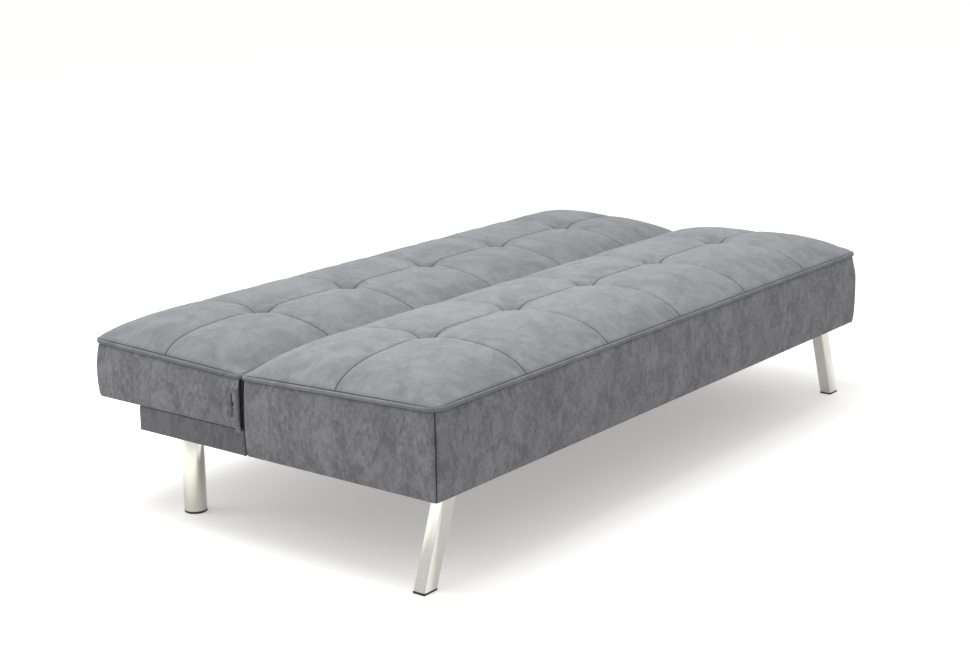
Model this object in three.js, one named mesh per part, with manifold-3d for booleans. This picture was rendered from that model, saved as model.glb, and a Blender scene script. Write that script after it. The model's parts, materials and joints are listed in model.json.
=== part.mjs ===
// A click-clack sofa bed, lying open as a flat bed.
// Millimetres, +Z up. X runs along the length, the front edge of the seat faces -Y,
// and the backrest lies on the +Y side of the crease, on top of a low rear base.
// The origin is on the floor under the middle of the bed. "left" is the -X end.

import * as THREE from 'three';
import { mergeVertices } from 'three/addons/utils/BufferGeometryUtils.js';
import Module from 'manifold-3d';

const wasm = await Module();
wasm.setup();

// ---------- driving dimensions ----------

const LENGTH = 1750; // seam to seam, along X
const SEAT_DEPTH = 510; // crease centre to the seat's front seam
const BACK_DEPTH = 444; // crease centre to the backrest's outer seam
const CREASE_GAP = 8; // open space between seat and backrest walls
const SIDE_BULGE = 6; // how far a filled wall stands out of its seams
const PLAN_CORNER = 32; // corner radius in plan

const SEAT_BOTTOM = 197;
const SEAT_FRONT_SEAM = 382;
const CREASE_SEAM = 365;
const BACK_OUTER_SEAM = 378;
const SEAT_CROWN = 438;
const BACK_CROWN = 431;
const BACK_BOTTOM = 251;
const COVER_WALL = 4; // fabric with its wadding
const EDGE_ROLL = 12; // how far in the rounded top edge turns
const EDGE_ROLL_RISE = 14;
const CROWN_REACH = 150; // from a free edge to the level top
const CREASE_CROWN_REACH = 200;
const END_CROWN_REACH = 170;
const CROWN_EASE = 0.55; // share of the reach over which the crown flattens

const BASE_DEPTH = 316;
const BASE_CLEARANCE = 1; // under the backrest, and behind the seat
const BASE_COVER_WALL = 2;
const BASE_PANEL = 3.5;

const RAIL = 22; // timber thickness
const SEAT_RAIL_TOP = 311;
const SEAT_CROSS_RAIL_TOP = 290;
const BACK_RAIL_TOP = 305;
const FRAME_RECESS = 5; // from a cover's hem up to the timber
const CLOTH = 1.5;
const CLOTH_RECESS = 2;
const FIT = 0.3; // between pieces that touch

const SPRING_COUNT = 6;
const SPRING_WIRE = 4;
const SPRING_WAVES = 7;
const SPRING_HALF_WIDTH = 26;
const SPRING_TO_FOAM = 3;
const WEBBING_COUNT = 3;
const WEBBING_WIDTH = 60;
const WEBBING_THICKNESS = 2;
const WEBBING_TO_FOAM = 3;

const HINGE_PIVOT_Z = 361;
const HINGE_MAX_ANGLE = 80;
const HINGE_LOUNGE_ANGLE = 40;
const HINGE_PLATE = 4; // steel thickness
const HINGE_PLATE_GAP = 1;
const HINGE_HEAD_R = 10;
const HINGE_PIN_R = 5;
const PIN_HEAD = 3;
const PIN_HEAD_OVERHANG = 3;
const BOSS_R = 13;
const RATCHET_R = 34;
const NOTCH_DEPTH = 7;
const NOTCH_WIDTH = 9;
const NOTCH_CLEARANCE = 1;
const PAWL_DIRECTION = 250; // degrees round the pivot, from +Y towards +Z
const PAWL_LIFT = 14; // degrees the pawl swings clear of the ratchet
const PAWL_PIVOT = [-58, -16]; // Y, Z from the hinge pivot
const PAWL_PIN_R = 4;
const PAWL_BOSS_R = 9;
const PAWL_TIP_R = 5.5;
const PAWL_SPRING_TURNS = 3;
const PAWL_SPRING_WIRE_R = 0.8;
const PAWL_SPRING_R = 6.2;
const PAWL_SPRING_LENGTH = 5.4;
const SEAT_PLATE_BOSSES = [[-70, -95], [-150, -80]];
const BACK_PLATE_BOSSES = [[60, -78], [130, -78]];
const PLATE_HOLE_R = 3.2;
const POCKET_MARGIN = 3; // space left round the hinge inside the foam and the covers
const SLOT_MARGIN = 1.2;

const FRONT_LEG_WIDTH = 40.4; // along X, cut level
const FRONT_LEG_DEPTH = 30;
const FRONT_LEG_FOOT_INSET = 23; // from the end seam to the foot's centre
const FRONT_LEG_LEAN = 71; // the top is this much nearer the middle
const FRONT_LEG_FROM_FRONT = 53;
const LEG_WALL = 2;
const LEG_PLATE = [112, 56];
const LEG_PLATE_THICKNESS = 3.5;
const REAR_LEG_R = 25;
const REAR_LEG_INSET = 88;
const REAR_LEG_FROM_REAR = 68;
const REAR_LEG_TOP_WALL = 4;
const REAR_LEG_STUD_R = 5;
const REAR_LEG_STUD = 14;
const FOOT_PAD = 4.7;
const FOOT_PLUG = 16;
const FOOT_PLUG_CLEARANCE = 0.4;
const LEG_BLOCK = [118, 62];
const FRONT_BLOCK_HEIGHT = 60;

const BASE_BOLT_R = 4;
const BASE_BOLT_HEAD_R = 7;
const BASE_BOLT_HEAD = 5;
const BASE_BOLT_FROM_MIDDLE = 600;

// ---------- derived places ----------

const CREASE_Y = (SEAT_DEPTH - BACK_DEPTH) / 2;
const HALF_LENGTH = LENGTH / 2;
const HALF_GAP = CREASE_GAP / 2;
const SEAT_FRONT_Y = CREASE_Y - SEAT_DEPTH;
const SEAT_REAR_Y = CREASE_Y - HALF_GAP;
const BACK_FRONT_Y = CREASE_Y + HALF_GAP;
const BACK_REAR_Y = CREASE_Y + BACK_DEPTH;
const RAIL_END_X = HALF_LENGTH - COVER_WALL - FIT;
const TIMBER_BOTTOM = SEAT_BOTTOM + FRAME_RECESS;
const BACK_TIMBER_BOTTOM = BACK_BOTTOM + FRAME_RECESS + 1;
const BASE_TOP = BACK_BOTTOM - BASE_CLEARANCE;
const BASE_FRONT_Y = SEAT_REAR_Y + BASE_CLEARANCE;
const BASE_REAR_Y = CREASE_Y + BASE_DEPTH;
const BASE_RAIL_TOP = BASE_TOP - BASE_COVER_WALL - BASE_PANEL - 2 * FIT;
const BASE_BOLT_Z = (TIMBER_BOTTOM + BASE_RAIL_TOP) / 2;
const SEAT_SPRING_Z = SEAT_RAIL_TOP + FIT;
const SEAT_FOAM_Z = SEAT_SPRING_Z + SPRING_WIRE + SPRING_TO_FOAM;
const WEBBING_Z = BACK_RAIL_TOP + FIT;
const BACK_FOAM_Z = WEBBING_Z + WEBBING_THICKNESS + WEBBING_TO_FOAM;

// The hinge's layers, from the end rail inwards. They're placed on the +X end and mirrored.
const SEAT_PLATE_X = RAIL_END_X - RAIL - FIT - HINGE_PLATE;
const BACK_PLATE_X = SEAT_PLATE_X - HINGE_PLATE_GAP - HINGE_PLATE;
const PIN_INNER_X = BACK_PLATE_X - FIT - PIN_HEAD;
const PAWL_PIN_INNER_X = BACK_PLATE_X - PAWL_SPRING_LENGTH - 2 * PAWL_SPRING_WIRE_R - PIN_HEAD - 1;
const PIN_OUTER_X = SEAT_PLATE_X + HINGE_PLATE + FIT;
const BACK_END_RAIL = RAIL + HINGE_PLATE + HINGE_PLATE_GAP;
const POCKET_INNER_X = PAWL_PIN_INNER_X - POCKET_MARGIN;
const SLOT_INNER_X = PIN_INNER_X - SLOT_MARGIN;
const SLOT_OUTER_X = PIN_OUTER_X + PIN_HEAD + SLOT_MARGIN;

// The ratchet's arc, in radians round the pivot, with a land past each outer notch.
const toRadians = THREE.MathUtils.degToRad;
const notchDirection = (backrestAngle) => toRadians(PAWL_DIRECTION - backrestAngle);
const NOTCH_LAND = Math.asin(NOTCH_WIDTH / RATCHET_R);
const RATCHET_ARC = [notchDirection(HINGE_MAX_ANGLE) - NOTCH_LAND, notchDirection(0) + NOTCH_LAND];
const PAWL_SWING = 2 * NOTCH_DEPTH; // how far the lifted tooth drops away from the ratchet
const SLOT_TOP = HINGE_PIVOT_Z + RATCHET_R * Math.sin(RATCHET_ARC[0]) + POCKET_MARGIN;
const SLOT_BOTTOM = HINGE_PIVOT_Z - RATCHET_R - PAWL_SWING - POCKET_MARGIN;
const PAWL_POCKET_Y = -PAWL_PIVOT[0] + BOSS_R + POCKET_MARGIN;
const RAIL_NOTCH_Z = SLOT_BOTTOM - 2 * BOSS_R;

// ---------- finishes ----------

const finish = (color, roughness, metalness) => (
  () => new THREE.MeshStandardMaterial({ color, roughness, metalness })
);
const greyFabric = finish(0x7f7f84, 0.95, 0);
const baseFabric = finish(0x69686b, 0.95, 0);
const foam = finish(0xe9dfc0, 0.9, 0);
const timber = finish(0xc9a574, 0.75, 0);
const board = finish(0xb99a6c, 0.8, 0);
const darkCloth = finish(0x2b2b2e, 0.95, 0);
const webbing = finish(0x3b3733, 0.9, 0);
const springSteel = finish(0x7d7f82, 0.4, 1);
const zincSteel = finish(0xb9bcc0, 0.38, 1);
const satinSteel = finish(0xd7d4cc, 0.3, 1);
const blackPlastic = finish(0x18181a, 0.6, 0);

// ---------- solids ----------

function solid(geometry) {
  const bare = geometry.index ? geometry.toNonIndexed() : geometry.clone();
  bare.deleteAttribute('normal');
  bare.deleteAttribute('uv');
  const merged = mergeVertices(bare, 1e-4);
  return new wasm.Manifold(new wasm.Mesh({
    numProp: 3,
    vertProperties: merged.attributes.position.array,
    triVerts: new Uint32Array(merged.index.array),
  }));
}

function geometryOf(made) {
  const mesh = made.getMesh();
  const geometry = new THREE.BufferGeometry();
  geometry.setAttribute('position', new THREE.BufferAttribute(mesh.vertProperties, 3));
  geometry.setIndex(new THREE.BufferAttribute(mesh.triVerts, 1));
  return geometry;
}

function block([x0, x1], [y0, y1], [z0, z1]) {
  const geometry = new THREE.BoxGeometry(x1 - x0, y1 - y0, z1 - z0);
  return solid(geometry.translate((x0 + x1) / 2, (y0 + y1) / 2, (z0 + z1) / 2));
}

// An outline drawn in two of the axes, pushed along the third from one place to another.
const BASES = {
  X: [[0, 1, 0], [0, 0, 1], [1, 0, 0]],
  Y: [[1, 0, 0], [0, 0, 1], [0, -1, 0]],
  Z: [[1, 0, 0], [0, 1, 0], [0, 0, 1]],
};

function extruded(shape, axis, from, to, curveSegments = 8) {
  const geometry = new THREE.ExtrudeGeometry(shape, {
    depth: to - from,
    bevelEnabled: false,
    curveSegments,
  });
  const [u, v, w] = BASES[axis].map((vector) => new THREE.Vector3(...vector));
  geometry.applyMatrix4(new THREE.Matrix4().makeBasis(u, v, w));
  const start = axis === 'Y' ? to : from;
  const along = { X: [start, 0, 0], Y: [0, start, 0], Z: [0, 0, start] }[axis];
  return solid(geometry.translate(...along));
}

function discShape(y, z, radius) {
  const shape = new THREE.Shape();
  shape.absarc(y, z, radius, 0, 2 * Math.PI, false);
  return shape;
}

const discAlongX = (y, z, radius, x0, x1) => extruded(discShape(y, z, radius), 'X', x0, x1, 9);

// A bar with two round ends, in the YZ plane.
function linkShape([y0, z0], r0, [y1, z1], r1) {
  const heading = Math.atan2(z1 - z0, y1 - y0);
  const spread = Math.acos((r0 - r1) / Math.hypot(y1 - y0, z1 - z0));
  const shape = new THREE.Shape();
  shape.absarc(y0, z0, r0, heading + spread, heading + 2 * Math.PI - spread, false);
  shape.absarc(y1, z1, r1, heading - spread, heading + spread, false);
  return shape;
}

const link = (a, ra, b, rb, x0, x1) => extruded(linkShape(a, ra, b, rb), 'X', x0, x1, 7);

// ---------- padded covers ----------

// A padded section: level bottom, walls that bulge, and a crown between the two top seams.
function paddedSection(low, high, bottom, crown) {
  const middle = (low.at + high.at) / 2;
  const shape = new THREE.Shape();
  shape.moveTo(low.at, bottom);
  shape.lineTo(high.at, bottom);
  shape.quadraticCurveTo(high.at + 2 * high.bulge, (bottom + high.seam) / 2, high.at, high.seam);
  shape.bezierCurveTo(
    high.at - EDGE_ROLL, high.seam + EDGE_ROLL_RISE,
    high.at - high.reach * CROWN_EASE, crown,
    Math.max(high.at - high.reach, middle), crown,
  );
  shape.lineTo(Math.min(low.at + low.reach, middle), crown);
  shape.bezierCurveTo(
    low.at + low.reach * CROWN_EASE, crown,
    low.at + EDGE_ROLL, low.seam + EDGE_ROLL_RISE,
    low.at, low.seam,
  );
  shape.quadraticCurveTo(low.at - 2 * low.bulge, (bottom + low.seam) / 2, low.at, bottom);
  return shape;
}

function planShape(x, y0, y1, radius0, radius1) {
  const shape = new THREE.Shape();
  shape.moveTo(-x, y0 + radius0);
  shape.quadraticCurveTo(-x, y0, -x + radius0, y0);
  shape.lineTo(x - radius0, y0);
  shape.quadraticCurveTo(x, y0, x, y0 + radius0);
  shape.lineTo(x, y1 - radius1);
  shape.quadraticCurveTo(x, y1, x - radius1, y1);
  shape.lineTo(-x + radius1, y1);
  shape.quadraticCurveTo(-x, y1, -x, y1 - radius1);
  return shape;
}

const CUSHIONS = {
  seat: {
    y: [SEAT_FRONT_Y, SEAT_REAR_Y],
    bulge: [SIDE_BULGE, 0],
    seam: [SEAT_FRONT_SEAM, CREASE_SEAM],
    reach: [CROWN_REACH, CREASE_CROWN_REACH],
    corner: [PLAN_CORNER, HALF_GAP],
    bottom: SEAT_BOTTOM,
    crown: SEAT_CROWN,
  },
  back: {
    y: [BACK_FRONT_Y, BACK_REAR_Y],
    bulge: [0, SIDE_BULGE],
    seam: [CREASE_SEAM, BACK_OUTER_SEAM],
    reach: [CREASE_CROWN_REACH, CROWN_REACH],
    corner: [HALF_GAP, PLAN_CORNER],
    bottom: BACK_BOTTOM,
    crown: BACK_CROWN,
  },
};

// The cushion's outside, or the space a given distance inside it, which runs out at the bottom.
function cushionForm({ y, bulge, seam, reach, corner, bottom, crown }, inset) {
  const floor = inset > 0 ? bottom - 1 : bottom;
  const endSeam = Math.max(...seam);
  const edge = (at, i) => ({ at, bulge: bulge[i], seam: seam[i] - inset, reach: reach[i] });
  const end = { bulge: SIDE_BULGE, seam: endSeam - inset, reach: END_CROWN_REACH };
  const x = HALF_LENGTH - inset;
  const across = paddedSection(edge(y[0] + inset, 0), edge(y[1] - inset, 1), floor, crown - inset);
  const along = paddedSection({ ...end, at: -x }, { ...end, at: x }, floor, crown - inset);
  const outer = [y[0] - bulge[0] + inset, y[1] + bulge[1] - inset];
  const plan = planShape(x + SIDE_BULGE, ...outer, ...corner);
  const reachX = HALF_LENGTH + 2 * SIDE_BULGE;
  return extruded(across, 'X', -reachX, reachX, 5)
    .intersect(extruded(along, 'Y', y[0] - 2 * SIDE_BULGE, y[1] + 2 * SIDE_BULGE, 5))
    .intersect(extruded(plan, 'Z', floor - 1, crown + 1, 4));
}

// Both ends of something that is drawn for the +X end.
const bothEnds = (made) => made.add(made.mirror([1, 0, 0]));

// Where the hinge plates pass through the two walls of the crease.
function hingeSlots(y0, y1, z0) {
  return bothEnds(block([SLOT_INNER_X, SLOT_OUTER_X], [y0, y1], [z0, SLOT_TOP]));
}

const BACK_SLOT_BOTTOM = HINGE_PIVOT_Z - 3 * HINGE_HEAD_R;
const seatSlots = () => hingeSlots(CREASE_Y - RATCHET_R - 2 * POCKET_MARGIN, CREASE_Y, SLOT_BOTTOM);
const backSlots = () => hingeSlots(CREASE_Y, CREASE_Y + RATCHET_R, BACK_SLOT_BOTTOM);

function baseBoltHole(sign) {
  const shape = new THREE.Shape();
  shape.absarc(sign * BASE_BOLT_FROM_MIDDLE, BASE_BOLT_Z, BASE_BOLT_R + FIT, 0, 2 * Math.PI, false);
  return extruded(shape, 'Y', SEAT_REAR_Y - COVER_WALL - 2 * RAIL, CREASE_Y + 2 * RAIL, 8);
}

const baseBoltHoles = () => baseBoltHole(1).add(baseBoltHole(-1));

function seatCover() {
  return cushionForm(CUSHIONS.seat, 0)
    .subtract(cushionForm(CUSHIONS.seat, COVER_WALL))
    .subtract(seatSlots())
    .subtract(baseBoltHoles());
}

function backCover() {
  return cushionForm(CUSHIONS.back, 0)
    .subtract(cushionForm(CUSHIONS.back, COVER_WALL))
    .subtract(backSlots());
}

// The space inside a cover above a given height.
function foamForm(cushion, bottom) {
  const { y, crown } = cushion;
  const above = block([-LENGTH, LENGTH], [y[0] - LENGTH, y[1] + LENGTH], [bottom, 2 * crown]);
  return cushionForm(cushion, COVER_WALL + FIT).intersect(above);
}

// The corner of the foam beside each hinge is cut out for it.
function seatFoam() {
  const pocket = block(
    [POCKET_INNER_X, HALF_LENGTH],
    [CREASE_Y - PAWL_POCKET_Y, CREASE_Y],
    [SEAT_FOAM_Z - 1, SLOT_TOP + POCKET_MARGIN],
  );
  return foamForm(CUSHIONS.seat, SEAT_FOAM_Z).subtract(bothEnds(pocket));
}

function backFoam() {
  const pocket = block(
    [POCKET_INNER_X, HALF_LENGTH],
    [CREASE_Y, CREASE_Y + BACK_PLATE_BOSSES[0][0] + BOSS_R],
    [BACK_FOAM_Z - 1, SLOT_TOP + POCKET_MARGIN],
  );
  return foamForm(CUSHIONS.back, BACK_FOAM_Z).subtract(bothEnds(pocket));
}

// A cloth that closes the underside of a frame, cut out round what is bolted up through it.
function dustCloth(y0, y1, bottom, cutouts = []) {
  const edge = COVER_WALL + FIT;
  const z0 = bottom + CLOTH_RECESS;
  const plan = planShape(HALF_LENGTH - edge, y0, y1, PLAN_CORNER, PLAN_CORNER);
  const sheet = extruded(plan, 'Z', z0, z0 + CLOTH, 4);
  return cutouts.reduce((left, cutout) => left.subtract(cutout), sheet);
}

// ---------- timber ----------

const seatInside = [SEAT_FRONT_Y + COVER_WALL + FIT, SEAT_REAR_Y - COVER_WALL - FIT];
const backInside = [BACK_FRONT_Y + COVER_WALL + FIT, BACK_REAR_Y - COVER_WALL - FIT];
const baseInside = [BASE_FRONT_Y + BASE_COVER_WALL + FIT, BASE_REAR_Y - BASE_COVER_WALL - FIT];
const BASE_END_X = HALF_LENGTH - BASE_COVER_WALL - FIT;

// A rail along X that fits between the end rails, with its corners clear of the rounded cover.
const railAlongX = (endX, y0, z0, z1) => block([-endX, endX], [y0, y0 + RAIL], [z0, z1]);

function endRail(thickness, outerX, [y0, y1], [z0, z1], frontCorner, rearCorner) {
  const shape = new THREE.Shape();
  const innerX = outerX - thickness;
  shape.moveTo(innerX, y0);
  shape.lineTo(outerX - frontCorner, y0);
  shape.quadraticCurveTo(outerX, y0, outerX, y0 + frontCorner);
  shape.lineTo(outerX, y1 - rearCorner);
  shape.quadraticCurveTo(outerX, y1, outerX - rearCorner, y1);
  shape.lineTo(innerX, y1);
  return extruded(shape, 'Z', z0, z1, 4);
}

const SEAT_CORNER_CUT = 18;
const seatEndRail = () => endRail(
  RAIL, RAIL_END_X, seatInside, [TIMBER_BOTTOM, SEAT_RAIL_TOP], SEAT_CORNER_CUT, 1,
);
const backEndRail = () => endRail(
  BACK_END_RAIL, RAIL_END_X, backInside, [BACK_TIMBER_BOTTOM, BACK_RAIL_TOP], 1, SEAT_CORNER_CUT,
);
const baseEndRail = () => endRail(
  RAIL, BASE_END_X, baseInside, [TIMBER_BOTTOM, BASE_RAIL_TOP], 1, 1,
);

function seatRearRail() {
  const rail = railAlongX(
    RAIL_END_X - RAIL - FIT, seatInside[1] - RAIL, TIMBER_BOTTOM, SEAT_RAIL_TOP,
  );
  const notch = block(
    [POCKET_INNER_X, HALF_LENGTH],
    [seatInside[1] - RAIL - 1, SEAT_REAR_Y],
    [RAIL_NOTCH_Z, SEAT_RAIL_TOP + 1],
  );
  return rail.subtract(bothEnds(notch)).subtract(baseBoltHoles());
}

function legBlock(x, y, z1) {
  const [width, depth] = LEG_BLOCK;
  return block(
    [x - width / 2, x + width / 2], [y - depth / 2, y + depth / 2], [TIMBER_BOTTOM, z1],
  );
}

// ---------- springs and webbing ----------

// A zigzag spring lying on the front and rear rails: a wave of wire, square in section.
function zigzagSpring(x) {
  const [start, end] = [seatInside[0] + RAIL / 2, seatInside[1] - RAIL / 2];
  const steps = SPRING_WAVES * 6;
  const centre = (i) => {
    const phase = (i / steps) * SPRING_WAVES * 2 * Math.PI;
    const y = start + ((end - start) * i) / steps;
    return new THREE.Vector2(x + SPRING_HALF_WIDTH * Math.sin(phase), y);
  };
  const side = (i, offset) => {
    const along = centre(Math.min(i + 1, steps)).sub(centre(Math.max(i - 1, 0))).normalize();
    const across = new THREE.Vector2(along.y, -along.x);
    return centre(i).addScaledVector(across, offset);
  };
  const numbers = Array.from({ length: steps + 1 }, (_, i) => i);
  const right = numbers.map((i) => side(i, SPRING_WIRE / 2));
  const left = numbers.map((i) => side(i, -SPRING_WIRE / 2)).reverse();
  const shape = new THREE.Shape([...right, ...left]);
  return extruded(shape, 'Z', SEAT_SPRING_Z, SEAT_SPRING_Z + SPRING_WIRE, 1);
}

function webbingStrap(index) {
  const [near, far] = [CREASE_Y + BACK_PLATE_BOSSES[0][0] + 2 * BOSS_R, backInside[1] - RAIL];
  const pitch = (far - near) / WEBBING_COUNT;
  const y = near + pitch * (index + 0.5);
  return block(
    [-RAIL_END_X + 1, RAIL_END_X - 1],
    [y - WEBBING_WIDTH / 2, y + WEBBING_WIDTH / 2],
    [WEBBING_Z, WEBBING_Z + WEBBING_THICKNESS],
  );
}

// ---------- rear base ----------

function baseCover() {
  const outer = block(
    [-HALF_LENGTH, HALF_LENGTH], [BASE_FRONT_Y, BASE_REAR_Y], [SEAT_BOTTOM, BASE_TOP],
  );
  const hollow = block(
    [-HALF_LENGTH + BASE_COVER_WALL, HALF_LENGTH - BASE_COVER_WALL],
    [BASE_FRONT_Y + BASE_COVER_WALL, BASE_REAR_Y - BASE_COVER_WALL],
    [SEAT_BOTTOM - 1, BASE_TOP - BASE_COVER_WALL],
  );
  return outer.subtract(hollow).subtract(baseBoltHoles());
}

function basePanel() {
  return block(
    [-BASE_END_X, BASE_END_X], baseInside, [BASE_RAIL_TOP + FIT, BASE_RAIL_TOP + FIT + BASE_PANEL],
  );
}

// A bolt with its nut, holding the base to the seat through both covers.
function baseBolt(x) {
  const headEnd = seatInside[1] - RAIL - FIT;
  const nutStart = baseInside[0] + RAIL + FIT;
  const disc = (radius) => {
    const shape = new THREE.Shape();
    shape.absarc(x, BASE_BOLT_Z, radius, 0, 2 * Math.PI, false);
    return shape;
  };
  return extruded(disc(BASE_BOLT_R), 'Y', headEnd - 1, nutStart + BASE_BOLT_HEAD + 4, 8)
    .add(extruded(disc(BASE_BOLT_HEAD_R), 'Y', headEnd - BASE_BOLT_HEAD, headEnd, 8))
    .add(extruded(disc(BASE_BOLT_HEAD_R), 'Y', nutStart, nutStart + BASE_BOLT_HEAD, 2));
}

// ---------- legs ----------

const FRONT_LEG_Y = SEAT_FRONT_Y + FRONT_LEG_FROM_FRONT;
const FRONT_FOOT_X = HALF_LENGTH - FRONT_LEG_FOOT_INSET;
const FRONT_TOP_X = FRONT_FOOT_X - FRONT_LEG_LEAN;
const REAR_LEG_X = HALF_LENGTH - REAR_LEG_INSET;
const REAR_LEG_Y = BASE_REAR_Y - REAR_LEG_FROM_REAR;
const LEG_PLATE_Z = TIMBER_BOTTOM - FIT - LEG_PLATE_THICKNESS;
const LEG_SLOPE = FRONT_LEG_LEAN / SEAT_BOTTOM;

// A slice of the leaning leg between two heights, cut level at both.
function leaningBar(halfWidth, halfDepth, z0, z1) {
  const centreAt = (z) => FRONT_FOOT_X - LEG_SLOPE * z;
  const shape = new THREE.Shape();
  shape.moveTo(centreAt(z0) - halfWidth, z0);
  shape.lineTo(centreAt(z0) + halfWidth, z0);
  shape.lineTo(centreAt(z1) + halfWidth, z1);
  shape.lineTo(centreAt(z1) - halfWidth, z1);
  return extruded(shape, 'Y', FRONT_LEG_Y - halfDepth, FRONT_LEG_Y + halfDepth, 1);
}

const legPlate = (x, y, margin, z0, z1) => block(
  [x - LEG_PLATE[0] / 2 - margin, x + LEG_PLATE[0] / 2 + margin],
  [y - LEG_PLATE[1] / 2 - margin, y + LEG_PLATE[1] / 2 + margin],
  [z0, z1],
);

// A leaning rectangular tube welded to its plate.
function frontLeg() {
  const [halfWidth, halfDepth] = [FRONT_LEG_WIDTH / 2, FRONT_LEG_DEPTH / 2];
  const bore = leaningBar(halfWidth - LEG_WALL, halfDepth - LEG_WALL, 0, LEG_PLATE_Z);
  return leaningBar(halfWidth, halfDepth, FOOT_PAD + FIT, LEG_PLATE_Z + 1)
    .add(legPlate(FRONT_TOP_X, FRONT_LEG_Y, 0, LEG_PLATE_Z, LEG_PLATE_Z + LEG_PLATE_THICKNESS))
    .subtract(bore);
}

function frontFootCap() {
  const inside = LEG_WALL + FOOT_PLUG_CLEARANCE;
  const [halfWidth, halfDepth] = [FRONT_LEG_WIDTH / 2, FRONT_LEG_DEPTH / 2];
  return leaningBar(halfWidth, halfDepth, 0, FOOT_PAD)
    .add(leaningBar(halfWidth - inside, halfDepth - inside, FOOT_PAD - 1, FOOT_PAD + FOOT_PLUG));
}

function turned(profile, x, y) {
  const points = profile.map(([r, z]) => new THREE.Vector2(r, z));
  const geometry = new THREE.LatheGeometry(points, 24);
  return solid(geometry.rotateX(Math.PI / 2).translate(x, y, 0));
}

const REAR_LEG_TOP = LEG_PLATE_Z - FIT;

function rearLeg() {
  const [bore, hole] = [REAR_LEG_R - LEG_WALL, REAR_LEG_STUD_R + FIT];
  const profile = [
    [bore, FOOT_PAD + FIT],
    [REAR_LEG_R, FOOT_PAD + FIT],
    [REAR_LEG_R, REAR_LEG_TOP],
    [hole, REAR_LEG_TOP],
    [hole, REAR_LEG_TOP - REAR_LEG_TOP_WALL],
    [bore, REAR_LEG_TOP - REAR_LEG_TOP_WALL],
    [bore, FOOT_PAD + FIT],
  ];
  return turned(profile, REAR_LEG_X, REAR_LEG_Y);
}

function rearFootCap() {
  const plug = REAR_LEG_R - LEG_WALL - FOOT_PLUG_CLEARANCE;
  const top = FOOT_PAD + FOOT_PLUG;
  const profile = [[0, 0], [REAR_LEG_R, 0], [REAR_LEG_R, FOOT_PAD], [plug, FOOT_PAD], [plug, top]];
  return turned([...profile, [0, top]], REAR_LEG_X, REAR_LEG_Y);
}

// The plate that a round leg screws on to, with its stud.
function rearLegPlate() {
  const stud = [
    [0, LEG_PLATE_Z - REAR_LEG_STUD],
    [REAR_LEG_STUD_R, LEG_PLATE_Z - REAR_LEG_STUD],
    [REAR_LEG_STUD_R, LEG_PLATE_Z + 1],
    [0, LEG_PLATE_Z + 1],
  ];
  return legPlate(REAR_LEG_X, REAR_LEG_Y, 0, LEG_PLATE_Z, LEG_PLATE_Z + LEG_PLATE_THICKNESS)
    .add(turned(stud, REAR_LEG_X, REAR_LEG_Y));
}

const plateCutout = (x, y) => legPlate(x, y, 1, SEAT_BOTTOM - 1, TIMBER_BOTTOM);

// ---------- hinge, drawn round its pivot at the +X end ----------

const boreAt = ([y, z], radius) => discAlongX(y, z, radius, PAWL_PIN_INNER_X, HALF_LENGTH);

function hingeSeatPlate() {
  const [x0, x1] = [SEAT_PLATE_X, SEAT_PLATE_X + HINGE_PLATE];
  const [lower, far] = SEAT_PLATE_BOSSES;
  const plate = link([0, 0], HINGE_HEAD_R, PAWL_PIVOT, PAWL_BOSS_R, x0, x1)
    .add(link(PAWL_PIVOT, PAWL_BOSS_R, lower, BOSS_R, x0, x1))
    .add(link(lower, BOSS_R, far, BOSS_R, x0, x1));
  return [lower, far].reduce((left, boss) => left.subtract(boreAt(boss, PLATE_HOLE_R)), plate)
    .subtract(boreAt([0, 0], HINGE_PIN_R + FIT))
    .subtract(boreAt(PAWL_PIVOT, PAWL_PIN_R + FIT));
}

// A radial slot or tooth, centred on a direction round the pivot.
function radialBar(direction, inner, outer, width, x0, x1) {
  const geometry = new THREE.BoxGeometry(x1 - x0, outer - inner, width);
  geometry.translate((x0 + x1) / 2, (inner + outer) / 2, 0);
  return solid(geometry.rotateX(direction));
}

function hingeBackPlate() {
  const [x0, x1] = [BACK_PLATE_X, BACK_PLATE_X + HINGE_PLATE];
  const [near, far] = BACK_PLATE_BOSSES;
  const [first, last] = RATCHET_ARC;
  const sector = new THREE.Shape();
  sector.moveTo(0, 0);
  sector.lineTo(RATCHET_R * Math.cos(first), RATCHET_R * Math.sin(first));
  sector.absarc(0, 0, RATCHET_R, first, last, false);
  const plate = extruded(sector, 'X', x0, x1, 14)
    .add(discAlongX(0, 0, HINGE_HEAD_R, x0, x1))
    .add(link([0, 0], HINGE_HEAD_R, near, BOSS_R, x0, x1))
    .add(link(near, BOSS_R, far, BOSS_R, x0, x1));
  const [floor, outside] = [RATCHET_R - NOTCH_DEPTH, RATCHET_R + NOTCH_DEPTH];
  const notches = [0, HINGE_LOUNGE_ANGLE, HINGE_MAX_ANGLE].map(
    (angle) => radialBar(notchDirection(angle), floor, outside, NOTCH_WIDTH, x0 - 1, x1 + 1),
  );
  const holes = [near, far].map((boss) => boreAt(boss, PLATE_HOLE_R));
  return [...notches, ...holes].reduce((left, cut) => left.subtract(cut), plate)
    .subtract(boreAt([0, 0], HINGE_PIN_R + FIT));
}

function pin(radius, innerX) {
  const outerX = PIN_OUTER_X + PIN_HEAD;
  return discAlongX(0, 0, radius, innerX + 1, outerX - 1)
    .add(discAlongX(0, 0, radius + PIN_HEAD_OVERHANG, innerX, innerX + PIN_HEAD))
    .add(discAlongX(0, 0, radius + PIN_HEAD_OVERHANG, PIN_OUTER_X, outerX));
}

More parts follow.
